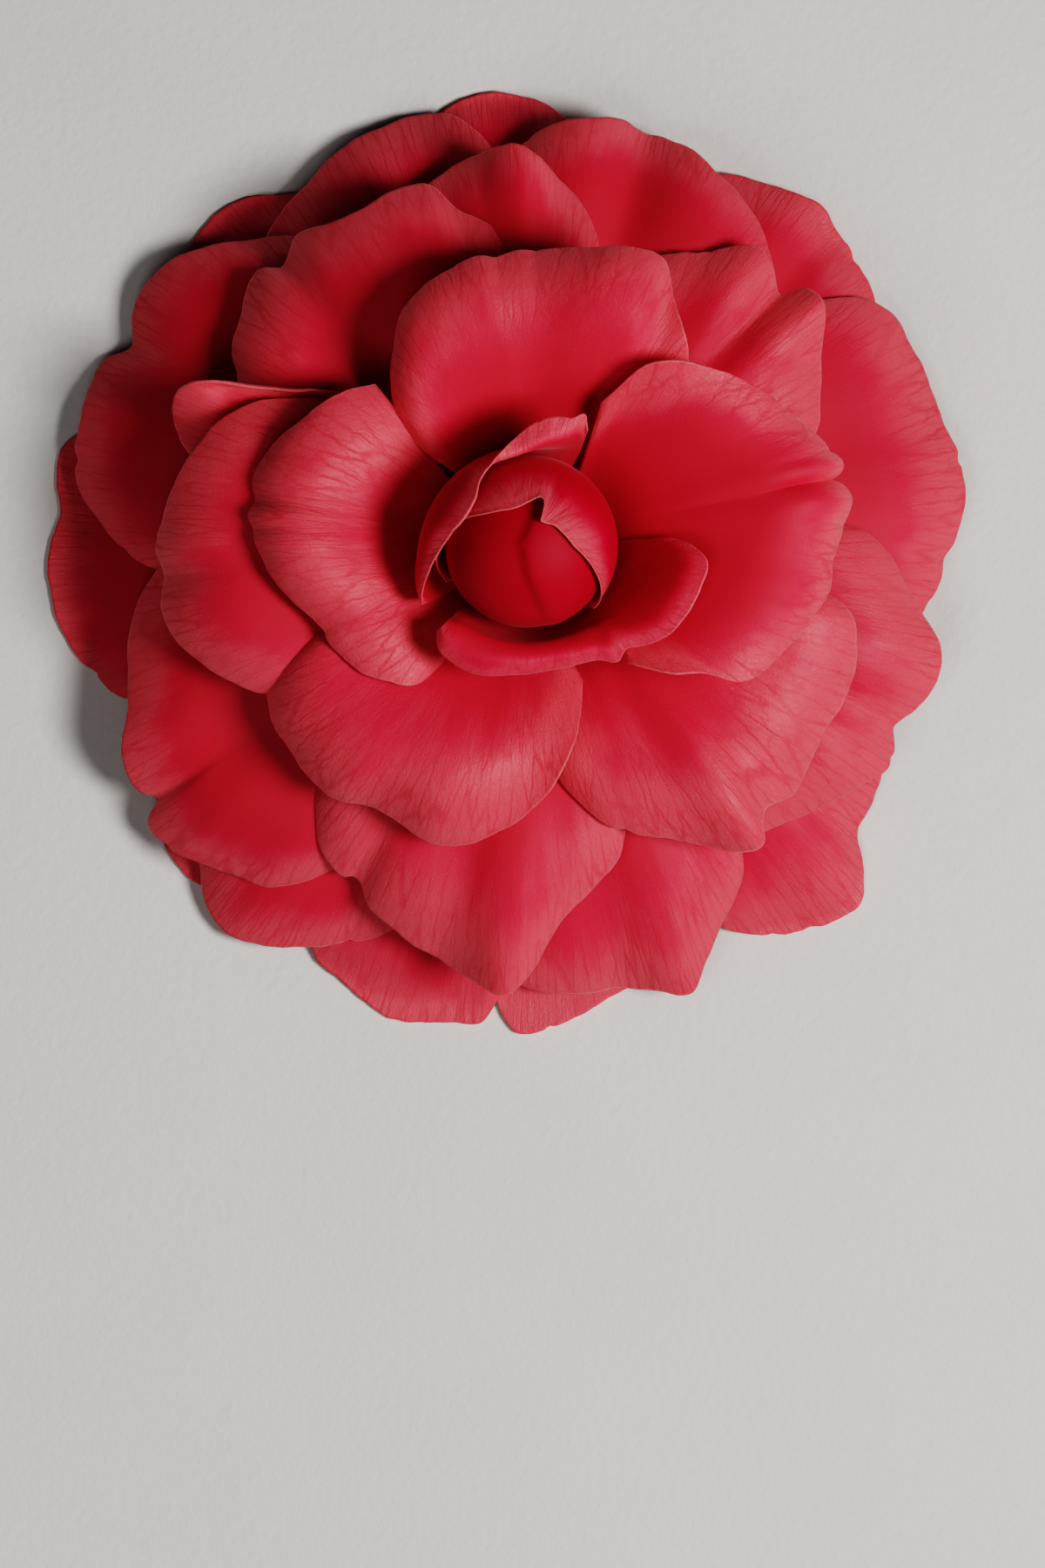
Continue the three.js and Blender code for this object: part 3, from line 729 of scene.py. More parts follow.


# %% [markdown]
# ## The petals
#
# From the outside in: guard petals droop onto the table, outer and middle petals overlap like tiles,
# and inner petals cup the bud. On the real flower no two petals have the same outline, so each has a
# row of its own here. It could be drawn from a random generator instead, but then the flower would
# lose the notches, points and folded sides that make it this flower.
#
# A row gives the petal's level and the bearing of its claw. Turn and roll say how many degrees the
# edge rolls down and over what length, ruffle how high its ruffles are, crown how much the middle
# arches up, and raised how much the whole edge is lifted. The painted sheen reach says how far in from
# the rim the painted rosy sheen reaches, compared with most petals: it paints light and shade petal by
# petal, wide on petals that are bright in the light and narrow on those that lie darker, such as most
# guard petals at the back. Marks are ridges, or creases where negative, as (bearing, height, half
# width). Curls change the turn along part of the edge, as (bearing, degrees, half width), and a fourth
# number there makes the roll tighter. The edge itself comes last, as (bearing, reach) points from one
# side of the claw to the other.

# %% [markdown]
# Guard petals are the lowest and oldest. They bow right down, and their rims lie on the table.

# %% Guard petals, in millimetres and degrees
PETALS = {
    "guard_petal_1": dict(
        level=0.25, bearing=92, bloom=0.55, marks=[(96, 0.2, 6)],
        rim=[(72, 36), (77, 44), (84, 47.5), (90, 50), (96, 51.2), (101, 49.5), (106, 46),
             (109, 37)],
    ),
    "guard_petal_2": dict(
        level=-0.1, bearing=132, bloom=0.6, marks=[(131, 0.7, 6)],
        rim=[(115, 36), (120, 45), (126, 48.5), (131, 51), (137, 50.8), (142, 48), (148, 43),
             (152, 34)],
    ),
    "guard_petal_3": dict(
        level=0.2, bearing=184, bloom=0.55, marks=[(175, -1.2, 4.8)],
        rim=[(160, 38), (163, 48), (168, 53.5), (172, 53.2), (176, 52.2), (180, 53.5), (184, 53.8),
             (190, 52.6), (196, 50.6), (200, 48), (205, 40)],
    ),
    "guard_petal_4": dict(
        level=-0.1, bearing=221, bloom=0.6,
        rim=[(208, 38), (211, 47), (216, 51), (221, 52.8), (226, 52), (232, 48), (236, 38)],
    ),
    "guard_petal_5": dict(
        level=0.5, bearing=253, bloom=0.8, marks=[(260, -0.7, 4.8)],
        rim=[(237, 36), (238, 46), (242, 50.8), (248, 53), (254, 54.3), (260, 53.6), (264, 53),
             (266, 49), (267, 40)],
    ),
    "guard_petal_6": dict(
        level=-0.3, bearing=277, marks=[(275, 0.6, 6)],
        rim=[(263, 36), (265, 48), (267, 52.3), (269, 54.2), (273, 53.2), (278, 51.3), (283, 50),
             (289, 47), (293, 38)],
    ),
    "guard_petal_7": dict(
        level=0.55, bearing=312, turn=40, roll=8, ruffle=0.56, bloom=1.3,
        marks=[(312, 1.4, 6), (303, -0.9, 6), (319, -1, 4.8)],
        rim=[(290, 36), (293, 43), (298, 48), (304, 51.5), (309, 53.6), (313, 53.8), (316, 51.5),
             (319, 48.3), (324, 47), (329, 45), (333, 38)],
    ),
    "guard_petal_8": dict(
        level=0.1, bearing=49, turn=32, ruffle=0.56, bloom=0.6,
        marks=[(46, -1.4, 4.8), (52, 1, 4.8)],
        rim=[(28, 38), (32, 45), (37, 47.6), (42, 48.8), (46, 49.2), (50, 50), (55, 49), (60, 47.6),
             (66, 45), (69, 36)],
    ),
}
print("guard petals:", len(PETALS))

# %% [markdown]
# Outer petals are the broadest. Several are notched in the middle of the rim, with a fold running in
# from the notch.

# %% Outer petals
PETALS |= {
    "outer_petal_1": dict(
        level=0.9, bearing=115, turn=36, roll=9, bloom=0.7, marks=[(113, 0.9, 8.4)],
        curls=[(95, -16, 6), (130, -10, 6)],
        rim=[(92, 34), (95, 44), (100, 48.5), (106, 49.8), (113, 49.1), (120, 47.7), (127, 46),
             (132, 43.5), (137, 36)],
    ),
    "outer_petal_2": dict(
        level=1.7, bearing=155, turn=44, roll=10, ruffle=0.56, bloom=0.7,
        marks=[(153, -2.3, 7.2), (163, 1.2, 8.4), (143, 1.2, 8.4)],
        rim=[(123, 34), (126, 42), (131, 45), (137, 49), (143, 51), (149, 51.3), (153, 49.4),
             (156, 51.3), (161, 52), (167, 51.5), (172, 50.3), (177, 47.2), (182, 42.5), (186, 34)],
    ),
    "outer_petal_3": dict(
        level=1.35, bearing=236, turn=36, roll=9, bloom=0.7, marks=[(232, 0.9, 7.2)],
        rim=[(216, 36), (220, 46), (225, 51.5), (229, 53.8), (233, 53.7), (239, 51.5), (245, 47.8),
             (251, 44), (255, 34)],
    ),
    "outer_petal_4": dict(
        level=1.1, bearing=14, turn=37, roll=9, bloom=0.9, marks=[(19, -0.7, 7.2), (8, 0.7, 8.4)],
        rim=[(-16, 34), (-12, 42), (-6, 45), (0, 46.7), (6, 48.2), (12, 48.8), (19, 47.6), (26, 48),
             (33, 47.8), (38, 45), (42, 40), (45, 32)],
    ),
    "outer_petal_5": dict(
        level=1.5, bearing=286, turn=46, roll=9, ruffle=0.56, bloom=1.15,
        marks=[(290, 2.3, 5.4), (283, -1.3, 6)],
        rim=[(263, 34), (265, 45), (269, 48.5), (275, 49.2), (281, 49.6), (286, 50.8), (290, 52),
             (293, 49.6), (298, 46), (304, 42), (308, 34)],
    ),
    "outer_petal_6": dict(
        level=2, bearing=67, turn=38, roll=9, ruffle=0.56, bloom=0.6,
        marks=[(74, -2.9, 5.4), (82, 1.4, 6), (60, 1, 9.6)],
        rim=[(40, 30), (44, 37.5), (49, 41), (55, 43.6), (62, 46), (69, 47.6), (74, 47.5),
             (78, 48.5), (84, 47.2), (90, 45), (95, 40), (97, 30)],
    ),
    "outer_petal_7": dict(
        level=2.4, bearing=211, turn=43, roll=10, ruffle=0.56, bloom=0.6,
        marks=[(214, -1.7, 4.8), (205, 1.2, 8.4)],
        rim=[(178, 30), (181, 39), (187, 43), (195, 45.7), (202, 47.8), (208, 50.6), (212, 50.8),
             (214, 49.6), (216, 52), (221, 51.2), (227, 49), (233, 46.5), (239, 41), (243, 32)],
    ),
    "outer_petal_8": dict(
        level=2.2, bearing=335, turn=48, roll=9, ruffle=0.56, bloom=1.15,
        marks=[(334, -1.9, 5.4), (343, 1.3, 6), (326, 1, 6)],
        rim=[(302, 30), (305, 39), (311, 41), (318, 42.6), (324, 44.8), (328, 46.3), (331, 45.8),
             (334, 44.3), (338, 46.3), (343, 47.3), (347, 46), (351, 43.3), (357, 40.5), (362, 37),
             (366, 30)],
    ),
}

# %% [markdown]
# Middle petals arch up more, and some rise to a point with a ridge behind it. The sixth is folded: its
# near side rolls up instead of down and shows only as a narrow lip.

# %% Middle petals
PETALS |= {
    "middle_petal_1": dict(
        level=2.8, bearing=93, turn=38, roll=9.5, bloom=0.65,
        marks=[(92, 2.6, 5.4), (100, -1, 7.2)],
        rim=[(75, 27), (77, 33.4), (80, 36.8), (85, 39.8), (89, 42.8), (92, 44.3), (96, 43.6),
             (101, 42.6), (107, 41), (113, 36), (115, 27)],
    ),
    "middle_petal_2": dict(
        level=3.2, bearing=261, turn=54, roll=10.5, ruffle=0.56, bloom=1.35,
        marks=[(267, 2.9, 5.4), (258, -1.2, 6), (243, -1.3, 4.8)],
        rim=[(226, 28), (230, 36), (235, 40), (240, 41.4), (243, 41), (246, 43.3), (252, 45),
             (258, 46.2), (263, 48.3), (267, 49.2), (270, 46.5), (274, 42), (280, 38), (286, 35.3),
             (291, 30)],
    ),
    "middle_petal_3": dict(
        level=3.3, bearing=44, turn=42, roll=9.5, ruffle=0.56, bloom=1.2,
        marks=[(40, 2.2, 4.8), (45, -1.9, 4.2), (51, 1.3, 4.8)],
        rim=[(15, 27), (21, 33), (29, 36.5), (36, 39.5), (40, 41.7), (43, 41.2), (45, 39.1),
             (49, 40.4), (52, 41), (58, 38), (66, 34.5), (71, 29)],
    ),
    "middle_petal_4": dict(
        level=3.6, bearing=114, turn=49, roll=10.5, crown=1.5,
        marks=[(131, -1.3, 4.8), (117, 1.2, 9.6)],
        rim=[(94, 26), (94.5, 31.4), (97, 35), (102, 37.6), (106, 41), (112, 41.4), (120, 41.3),
             (127, 42.3), (131, 41.1), (135, 42.6), (141, 40.3), (148, 38.3), (155, 33), (157, 25)],
    ),
    "middle_petal_5": dict(
        level=4, bearing=316, turn=66, roll=9.5, ruffle=0.56, crown=1.5, bloom=1.7,
        marks=[(308, 2.9, 5.4), (315, -1.4, 6), (346, 1.2, 6)],
        rim=[(273, 22), (279, 27), (286, 31.5), (293, 34.6), (300, 37.6), (305, 40.6), (308, 41.6),
             (311, 38.9), (317, 39.2), (325, 38.2), (334, 38), (342, 37.3), (347, 36.3), (351, 32),
             (354, 24)],
    ),
    "middle_petal_6": dict(
        level=4.1, bearing=150, turn=38, roll=9.5, ruffle=0.3, marks=[(158, -1.2, 5)],
        curls=[(149, -190, 6.5, 0.65)],
        rim=[(137, 23), (140, 25.5), (144, 28.5), (147, 31.3), (150, 34.8), (152.5, 38.4),
             (154.5, 41), (157, 42.2), (160, 41.5), (165, 38), (169, 32)],
    ),
    "middle_petal_7": dict(
        level=4.75, bearing=184, turn=59, roll=11.5, crown=1.8, bloom=0.9,
        marks=[(184, -1.2, 6), (165, 1.2, 9.6)], curls=[(150, -28, 9)],
        rim=[(144, 27), (152, 33), (160, 36.8), (168, 38.6), (175, 39.6), (180, 40.8), (185, 39.9),
             (191, 40.3), (198, 38.8), (205, 35.3), (210, 32), (211, 26)],
    ),
}

# %% [markdown]
# Inner petals stand deepest in the flower and roll the most. Their bowls leave the dark hollow round
# the bud.

# %% Inner petals
PETALS |= {
    "inner_petal_1": dict(
        level=5.4, bearing=245, turn=72, roll=13, crown=2.0, bloom=1.6, marks=[(252, 0.8, 10)],
        curls=[(206, 8, 8), (282, -55, 12)],
        rim=[(201, 26), (206, 31), (214, 33.6), (222, 34.4), (231, 34.5), (240, 33.1), (248, 33.6),
             (254, 33.7), (261, 32.3), (269, 29.4), (277, 25.6), (284, 21.5), (291, 16)],
    ),
    "inner_petal_2": dict(
        level=6.5, bearing=94, turn=62, roll=11, crown=2.2, bloom=1.1,
        marks=[(88, -1.7, 9.6), (70, 1.3, 9.6)], curls=[(128, 30, 10), (52, -45, 7)],
        rim=[(48, 25.5), (53, 28), (59, 30.5), (65, 33.6), (74, 33.1), (84, 31.8), (94, 31.1),
             (102, 31.3), (111, 29.8), (119, 28.2), (127, 24.6), (134, 20.8), (139, 16.5)],
    ),
    "inner_petal_3": dict(
        level=6.05, bearing=182, turn=72, roll=9.5, ruffle=0.56, crown=3.2, bloom=1.7,
        marks=[(152, 1.2, 9.6), (171, -0.3, 2.2), (177, -0.3, 2.0), (200, -0.9, 9.6)],
        curls=[(228, -25, 9), (140, -25, 8)],
        rim=[(134.5, 24), (143, 26.3), (156, 29), (167, 30.5), (171, 30.0), (174, 30.5),
             (177, 29.8), (180, 29.6), (183, 28.7), (190, 27.2), (199, 25), (209, 23.7),
             (220, 22.2), (230, 20.2), (233, 16)],
    ),
    "inner_petal_4": dict(
        level=7.15, bearing=8, turn=70, roll=13, crown=-1.3, raised=1.6, bloom=0.68,
        marks=[(6.5, 0.2, 3), (11.6, -0.45, 2.2), (16, 0.4, 3), (36, 1, 12)],
        curls=[(12, 12, 16), (56, -55, 12), (-44, -30, 10)],
        rim=[(-51, 17), (-43, 21), (-37, 24), (-33, 27.5), (-26, 29), (-17, 31.3), (-9, 32.4),
             (-3, 32.6), (3, 34), (7.5, 35), (10, 34.4), (11.8, 33), (14, 34.5), (19, 33.4),
             (27, 31), (36, 28.9), (46, 26.7), (56, 23), (63, 17)],
    ),
}
print(len(PETALS), "fanned petals")

# %% Grow the petals
FINE_RIDGES = 0.012 * MM


def fanned(name, number, level, bearing, claw_half_width, edge, values, inputs):
    """Grows one sheet from its claw with the fan tree, and settles it."""
    shape = {label: value * MM for label, value in bowl(level).items()}
    inputs = inputs | shape | {
        "Claw bearing": math.radians(bearing),
        "Claw half angle": claw_half_width * MM / shape["Claw reach"],
        "Petal number": float(number),
    }
    piece = grown("fine_" + name, edge_object(name + "_edge", edge, values), FAN, inputs)
    settle(piece, name)
    return piece


def grow_petal(name, number, level, bearing, rim, turn=30, roll=7, ruffle=0.48, crown=1.0, raised=0.0,
               bloom=1.0, marks=(), curls=()):
    """Grows one petal from its row of the table."""
    edge, values = petal_edge(name, rim, marks, turn, roll, curls, raised)
    fanned(name, number, level, bearing, CLAW_HALF_WIDTH, edge, values, {
        "Rows": 50,
        "Ruffle": ruffle * MM,
        "Crown": crown * MM,
        "Bloom": bloom,
        "Thickness": 0.5 * MM,
        "Edge thickness": 0.3 * MM,
        "Ridge height": FINE_RIDGES,
        "Ridges across": 26.0,
        "Swell height": 0.3 * MM,
        "Skin": PETAL_SKIN,
    })


for number, (name, petal) in enumerate(PETALS.items()):
    grow_petal(name, number, **petal)
print("petals grown:", len(PETALS))

# %% [markdown]
# ## Petals folded round the bud
#
# The petals in the middle don't fan out. They stand up and wrap the bud, lean over it or turn their
# rims out, so a bowl can't describe them. Each is given instead by the profiles it follows at a few
# bearings, from its foot up to its rim. Smooth curves run through each profile and then from profile to
# profile, and the sheet between them gets the same finish as every other petal. A cloth simulation could
# fold a petal too, but it would never give this very fold twice.


# %% A sheet that follows given profiles
# the pale line keeps this width, however narrow the painted rosy sheen is
RIM_LINE = 0.3  # mm of rim whose pale line keeps its width, however narrow the rosy bloom is
BEARING_WEIGHT = 0.2  # mm for each degree, so that the smooth curves weigh bearings and mm alike
RIM_WAVES = (3.0, 7.0, 17.0)  # how many waves of each kind a rim has


def shaped_sheet(name, columns, wide, tall, waviness, bloom, middle=(0.0, 0.0)):
    """An open sheet. A column is (bearing, [(reach, height), ...]) from foot to rim, in mm."""
    draw = seeded(name)
    profiles = [smooth_curve(profile, tall) for _, profile in columns]
    bearings = np.array([bearing for bearing, _ in columns], float)
    table = np.column_stack([bearings * BEARING_WEIGHT, np.reshape(profiles, (len(columns), -1))])
    spread = smooth_curve(table, wide)
    angle = np.radians(spread[:, :1] / BEARING_WEIGHT)
    lines = spread[:, 1:].reshape(wide, tall, 2)
    reach, height = lines[..., 0], lines[..., 1]
    steps = np.linalg.norm(np.diff(lines, axis=1), axis=2)
    walked = np.concatenate([np.zeros((wide, 1)), np.cumsum(steps, axis=1)], axis=1)
    out = walked / walked[:, -1:]
    across = np.repeat(np.linspace(0, 1, wide)[:, None], tall, axis=1)
    for waves in RIM_WAVES:
        size = waviness * (RIM_WAVES[0] / waves) ** 0.7
        wave = size * np.sin(2 * np.pi * waves * across + draw.uniform(0, 6.28))
        height = height + wave * out**6
        reach = reach + wave * 0.6 * out**6
    x = AXIS.x / MM + middle[0] + reach * np.cos(angle)
    y = AXIS.y / MM + middle[1] + reach * np.sin(angle)
    spots = np.stack([x, y, height], -1).reshape(-1, 3) * MM
    corner = np.arange(wide * tall).reshape(wide, tall)
    faces = np.stack([corner[:-1, :-1], corner[1:, :-1], corner[1:, 1:], corner[:-1, 1:]], -1)
    mesh = bpy.data.meshes.new(name)
    mesh.from_pydata(spots, [], faces.reshape(-1, 4).tolist())
    from_rim = walked[:, -1:] - walked
    # stretched by the painted sheen reach, as in the fan tree
    from_rim += np.maximum(from_rim - RIM_LINE, 0) * (1 / bloom - 1)  # the pale line keeps its width
    for label, values in (("across", across), ("out", out), ("from_rim", from_rim)):
        write_values(mesh, label, values)
    return placed(name, mesh)


def finish_sheet(sheet, node, number, skin, swell, thickness=0.38, edge=0.18):
    """Gives a sheet the finish that all petals share, and settles it. Lengths are in mm."""
    piece = grown("fine_" + node, sheet, FINISH, {
        "Thickness": thickness * MM,
        "Edge thickness": edge * MM,
        "Ridge height": FINE_RIDGES,
        "Ridges across": 22.0,
        "Swell height": swell * MM,
        "Petal number": float(number),
        "Skin": skin,
    })
    settle(piece, node)


def on_foot(foot, columns):
    """The same columns, each starting from the one foot that they share."""
    return [(bearing, [foot, *profile]) for bearing, profile in columns]


# %% [markdown]
# ## The lip petal and the hood petal
#
# The lip petal is the last that opened. Its wall hugs the bud, and only its rim has turned out: a narrow
# lip below the bud that widens to a tongue at the right. The hood petal stands on the other side. Its
# left half still leans over the bud, and its far half has just begun to unroll and shows the inner,
# paler face of its rim. Their painted rosy sheen is narrow, so they stay a darker crimson almost to the edge.

# %% Lip petal and hood petal, in millimetres
LIP_FOOT = (4.4, 17.6)
LIP_COLUMNS = [  # (bearing, [(reach, height), ...]) from just above the foot up to the rim
    (224, [(9.0, 23.5), (11.6, 28.6), (12.5, 31.0), (13.2, 31.4), (13.7, 30.9)]),
    (232, [(8.9, 23.5), (11.0, 28.8), (11.9, 31.4), (13.7, 31.9), (15.3, 30.9)]),
    (244, [(8.9, 23.5), (10.9, 28.8), (11.7, 31.3), (13.6, 32.0), (15.5, 30.7)]),
    (263, [(8.9, 23.4), (10.8, 28.5), (11.4, 30.8), (12.9, 31.6), (14.3, 30.5)]),
    (282, [(8.9, 23.4), (10.8, 28.2), (11.3, 30.4), (12.7, 31.3), (13.9, 30.3)]),
    (298, [(8.9, 23.3), (10.8, 27.9), (11.5, 30.2), (13.1, 31.3), (14.4, 30.5)]),
    (307, [(8.9, 23.2), (11.0, 27.6), (12.0, 30.0), (14.2, 31.4), (16.1, 30.8)]),
    (312, [(8.9, 23.2), (11.1, 27.4), (12.2, 29.9), (14.2, 31.5), (15.6, 31.4)]),
    (318, [(8.9, 23.1), (11.2, 27.2), (12.6, 29.8), (14.8, 31.7), (16.7, 31.8)]),
    (327, [(8.9, 23.0), (11.3, 26.9), (13.2, 29.8), (16.0, 32.2), (18.1, 32.5)]),
    (337, [(8.9, 22.9), (11.5, 26.7), (13.6, 29.8), (16.6, 32.6), (18.9, 33.2)]),
    (345, [(8.9, 22.9), (11.7, 26.6), (14.0, 29.8), (17.0, 32.6), (19.2, 33.3)]),
    (352, [(8.9, 22.9), (12.0, 26.7), (14.6, 29.8), (17.3, 32.2), (19.5, 33.0)]),
    (358, [(9.0, 22.9), (12.2, 26.6), (14.4, 29.1), (16.4, 31.0), (17.8, 31.8)]),
    (362, [(9.0, 22.9), (12.0, 26.2), (13.5, 28.0), (14.6, 29.2), (15.3, 30.0)]),
]
HOOD_FOOT = (4.5, 17.8)
HOOD_COLUMNS = [
    (62, [(9.6, 23.0), (11.6, 27.0), (12.4, 30.8), (12.9, 33.2), (13.5, 34.5)]),
    (66.4, [(9.4, 23.2), (11.3, 27.6), (12.0, 31.4), (13.0, 34.2), (14.9, 34.7)]),
    (71, [(9.2, 23.4), (10.9, 28.2), (11.4, 32.2), (12.0, 34.7), (13.9, 35.0)]),
    (77, [(9.0, 23.4), (10.6, 28.6), (10.8, 32.8), (11.3, 35.3), (13.7, 35.2)]),
    (89, [(8.9, 23.5), (10.4, 29.0), (10.1, 33.4), (10.1, 35.8), (12.5, 35.5)]),
    (102, [(8.9, 23.5), (10.4, 29.2), (9.9, 33.6), (9.4, 36.0), (10.7, 36.1)]),
    (115, [(8.9, 23.5), (10.5, 29.4), (10.0, 33.4), (9.2, 35.9), (9.3, 36.8)]),
    (127, [(8.9, 23.5), (10.6, 29.5), (10.4, 33.2), (9.5, 35.8), (8.5, 37.2)]),
    (143, [(8.9, 23.5), (10.8, 29.5), (10.7, 33.2), (9.5, 36.2), (7.3, 38.6)]),
    (161, [(8.9, 23.5), (11.1, 29.3), (11.2, 33.0), (9.9, 36.2), (7.4, 38.6)]),
    (174, [(8.9, 23.5), (11.3, 28.8), (11.7, 32.3), (10.8, 35.4), (8.3, 37.8)]),
    (186, [(9.0, 23.4), (11.6, 28.2), (12.2, 31.2), (11.7, 33.9), (9.6, 36.2)]),
    (197, [(9.2, 23.0), (12.0, 27.3), (12.8, 29.7), (12.8, 31.9), (11.3, 34.2)]),
    (205, [(9.4, 22.6), (12.2, 26.2), (13.1, 28.0), (13.4, 29.7), (12.9, 31.4)]),
    (210, [(9.5, 22.2), (12.2, 25.0), (12.9, 26.6), (13.4, 28.0), (13.5, 29.4)]),
]
lip = shaped_sheet("lip_petal", on_foot(LIP_FOOT, LIP_COLUMNS), 130, 46, waviness=0.1, bloom=0.22)
finish_sheet(lip, "lip_petal", 41, BUD_SKIN, swell=0.12)
hood = shaped_sheet("hood_petal", on_foot(HOOD_FOOT, HOOD_COLUMNS), 130, 46, waviness=0.1, bloom=0.28)
finish_sheet(hood, "hood_petal", 42, PETAL_SKIN, swell=0.1)
print("lip petal and hood petal stand round the bud")

# %% [markdown]
# ## The bud
#
# The bud is a tight ball of petals that haven't opened. The outermost, the bud hood, wraps the back and
# the right of it; its rim sweeps over the top, catches in a small pocket, and runs down the front
# like a curtain. What shows below it is the heart: the next petals, rolled tightly round each other. The
# one on the right overlaps the one on the left in a soft fold that runs over the tip and down the front.
#
# Both follow the same egg-shaped profile as the construction. The heart is one closed ball whose
# surface steps out along the fold, because nobody can see between petals this tight. Modelling every
# petal inside would add a hundred thousand faces that never see light. The function that closes a body
# from its rings serves the receptacle and the stalk as well.


# %% A closed body from rings of points
def closed_body(name, rings, low, high, skin, off_axis=(0.0, 0.0)):
    """A smooth mesh from rings, lowest first, closed by its lowest and highest points. In mm."""
    around = len(rings[0])
    spots = [low, *(spot for ring in rings for spot in ring), high]
    last = len(spots) - 1
    faces = []
    for k in range(around):
        after = (k + 1) % around
        faces += [(0, 1 + after, 1 + k), (last, last - around + k, last - around + after)]
        for first in range(1, last - around, around):
            upper = first + around
            faces.append((first + k, first + after, upper + after, upper + k))
    middle = [AXIS.x / MM + off_axis[0], AXIS.y / MM + off_axis[1], 0]
    mesh = bpy.data.meshes.new(name)
    mesh.from_pydata((np.array(spots, float) + middle) * MM, [], faces)
    mesh.polygons.foreach_set("use_smooth", [True] * len(faces))
    mesh.materials.append(skin)
    return mesh


# %% The bud's profile
BUD_RADIUS = 9.1
BUD_MIDDLE = 30.6  # height of its widest ring
BUD_CROWN = 8.9  # from there up to the tip
BUD_FOOT = 11.6  # from there down to the foot
BUD_TAPER = 1.5  # how much more pointed the lower half is than a ball
BUD_LEAN = (-0.3, -0.4)  # how far its middle lies off the flower's axis


def bud_profile(down, grow):
    """Reach and height on the bud at this many degrees from its top, grown outwards by so much."""
    angle = np.radians(down)
    lower = np.asarray(down) > 90
    reach = (BUD_RADIUS + grow) * np.sin(angle) ** np.where(lower, BUD_TAPER, 1.0)
    half = np.where(lower, BUD_FOOT, BUD_CROWN) + grow
    return reach, BUD_MIDDLE + half * np.cos(angle)


print("reach and height of the bud at its widest:", [round(float(c), 2) for c in bud_profile(90, 0)])

# %% The bud hood
BUD_HOOD_RIM = [  # (bearing, degrees from the top of the bud)
    (-43, 97), (-38, 85), (-32, 72), (-26, 60), (-19, 48), (-10, 37), (-2, 30), (15, 24), (34, 20.5),
    (48, 17), (56, 16), (61, 20), (66, 27), (73, 31), (86, 27), (98, 24.5), (111, 23.5), (130, 27),
    (144, 33), (156, 44), (170, 60), (190, 84), (204, 104),
]
BUD_HOOD_FOOT = 158  # degrees from the top
RIM_FLARE = 9  # degrees below its rim where the hood begins to stand off the bud
POCKET = (63, 8)  # bearing and half width of the small pocket in the rim


def hood_column(bearing, rim):
    """The bud hood at one bearing, up from its foot; its rim stands off the bud a little."""
    pocket = near(bearing, *POCKET)
    down = np.concatenate([np.linspace(BUD_HOOD_FOOT, rim + RIM_FLARE, 7), [rim + 4, rim]])
    grow = np.array([0.6, 0.7, 0.75, 0.75, 0.75, 0.75, 0.75, 0.8 + 0.1 * pocket, 0.95 + 0.3 * pocket])
    reach, height = bud_profile(down, grow)
    return bearing, list(zip(reach, height))


columns = [hood_column(*rim) for rim in BUD_HOOD_RIM]
bud_hood = shaped_sheet("bud_hood", columns, 170, 50, waviness=0.05, bloom=0.5, middle=BUD_LEAN)
finish_sheet(bud_hood, "bud_hood", 43, PETAL_SKIN, swell=0.04, thickness=0.3, edge=0.14)
print("bud hood:", len(columns), "profiles")

# %% The heart of the bud
HEART_AROUND, HEART_DOWN = 144, 72  # columns and rings of the heart
FOLD_STEP = 0.34  # mm by which the right half stands above the left, counted from the middle
FOLD_WIDTH = 0.6


def fold_line(y):
    """Where, seen from above, the fold of the heart runs: over the tip and down the front."""
    return np.interp(y, (-10, -7, -3.5, 0, 3.5, 9), (3.4, 1.6, 0.0, -0.6, 0.9, 2.4))


def heart_ring(fall):
    """A ring of the heart this many degrees from its top; its right half overlaps its left half."""
    fade = np.interp(fall, (0, 45, 90, 180), (1.0, 1.0, 0.35, 0.0))
    spots = []
    for k in range(HEART_AROUND):
        angle = 2 * math.pi * k / HEART_AROUND
        reach = bud_profile(fall, 0.0)[0]
        aside = reach * math.cos(angle) - fold_line(reach * math.sin(angle))
        grow = FOLD_STEP * math.tanh(aside / FOLD_WIDTH) * fade
        reach, height = bud_profile(fall, grow - FOLD_STEP / 2)
        spots.append((reach * math.cos(angle), reach * math.sin(angle), height))
    return spots


def heart_way(fall):
    """How far out from the claw the skin's map says that a ring of the heart lies."""
    return 0.62 - 0.3 * min(fall / 90, 1.3)


# %% Close the heart and lay its map
falls = [180.0 * ring / HEART_DOWN for ring in range(HEART_DOWN - 1, 0, -1)]
ends = [(0, 0, bud_profile(fall, 0)[1]) for fall in (180, 0)]
heart = closed_body("fine_bud_heart", [heart_ring(fall) for fall in falls], *ends, BUD_SKIN, BUD_LEAN)
ways = [(0.5, 0.2)] + [(k / HEART_AROUND, heart_way(fall)) for fall in falls for k in range(HEART_AROUND)]
ways.append((0.5, heart_way(0)))
corners = np.zeros(len(heart.loops), np.int32)
heart.loops.foreach_get("vertex_index", corners)
coordinates = heart.uv_layers.new(name="UVMap")
coordinates.data.foreach_set("uv", np.array(ways, np.float32)[corners].ravel())
# 17 mm from the rim, so the painted rosy sheen hardly reaches the heart
for label, value in (("petal_number", 44.0), ("from_rim", 17.0)):
    write_values(heart, label, np.full(len(ways), value))
settle(placed("fine_bud_heart", heart), "bud_heart")
print("bud heart:", len(heart.polygons), "faces")

# %% [markdown]
# ## The calyx
#
# Turn the flower over and the red ends in a rosette of stiff, cupped scales: four short bracts next to
# the stalk and five larger sepals above them, each overlapping the next. They are leathery, yellow-green
# with a brown-purple flush towards the rim, thinner and paler right at the edge, and finely striped
# along their length. The oldest bracts are dry and brown.
#
# The same fan that grew the petals grows the scales, with a short broad edge, a thicker sheet and
# hardly any roll. Only the material is new.


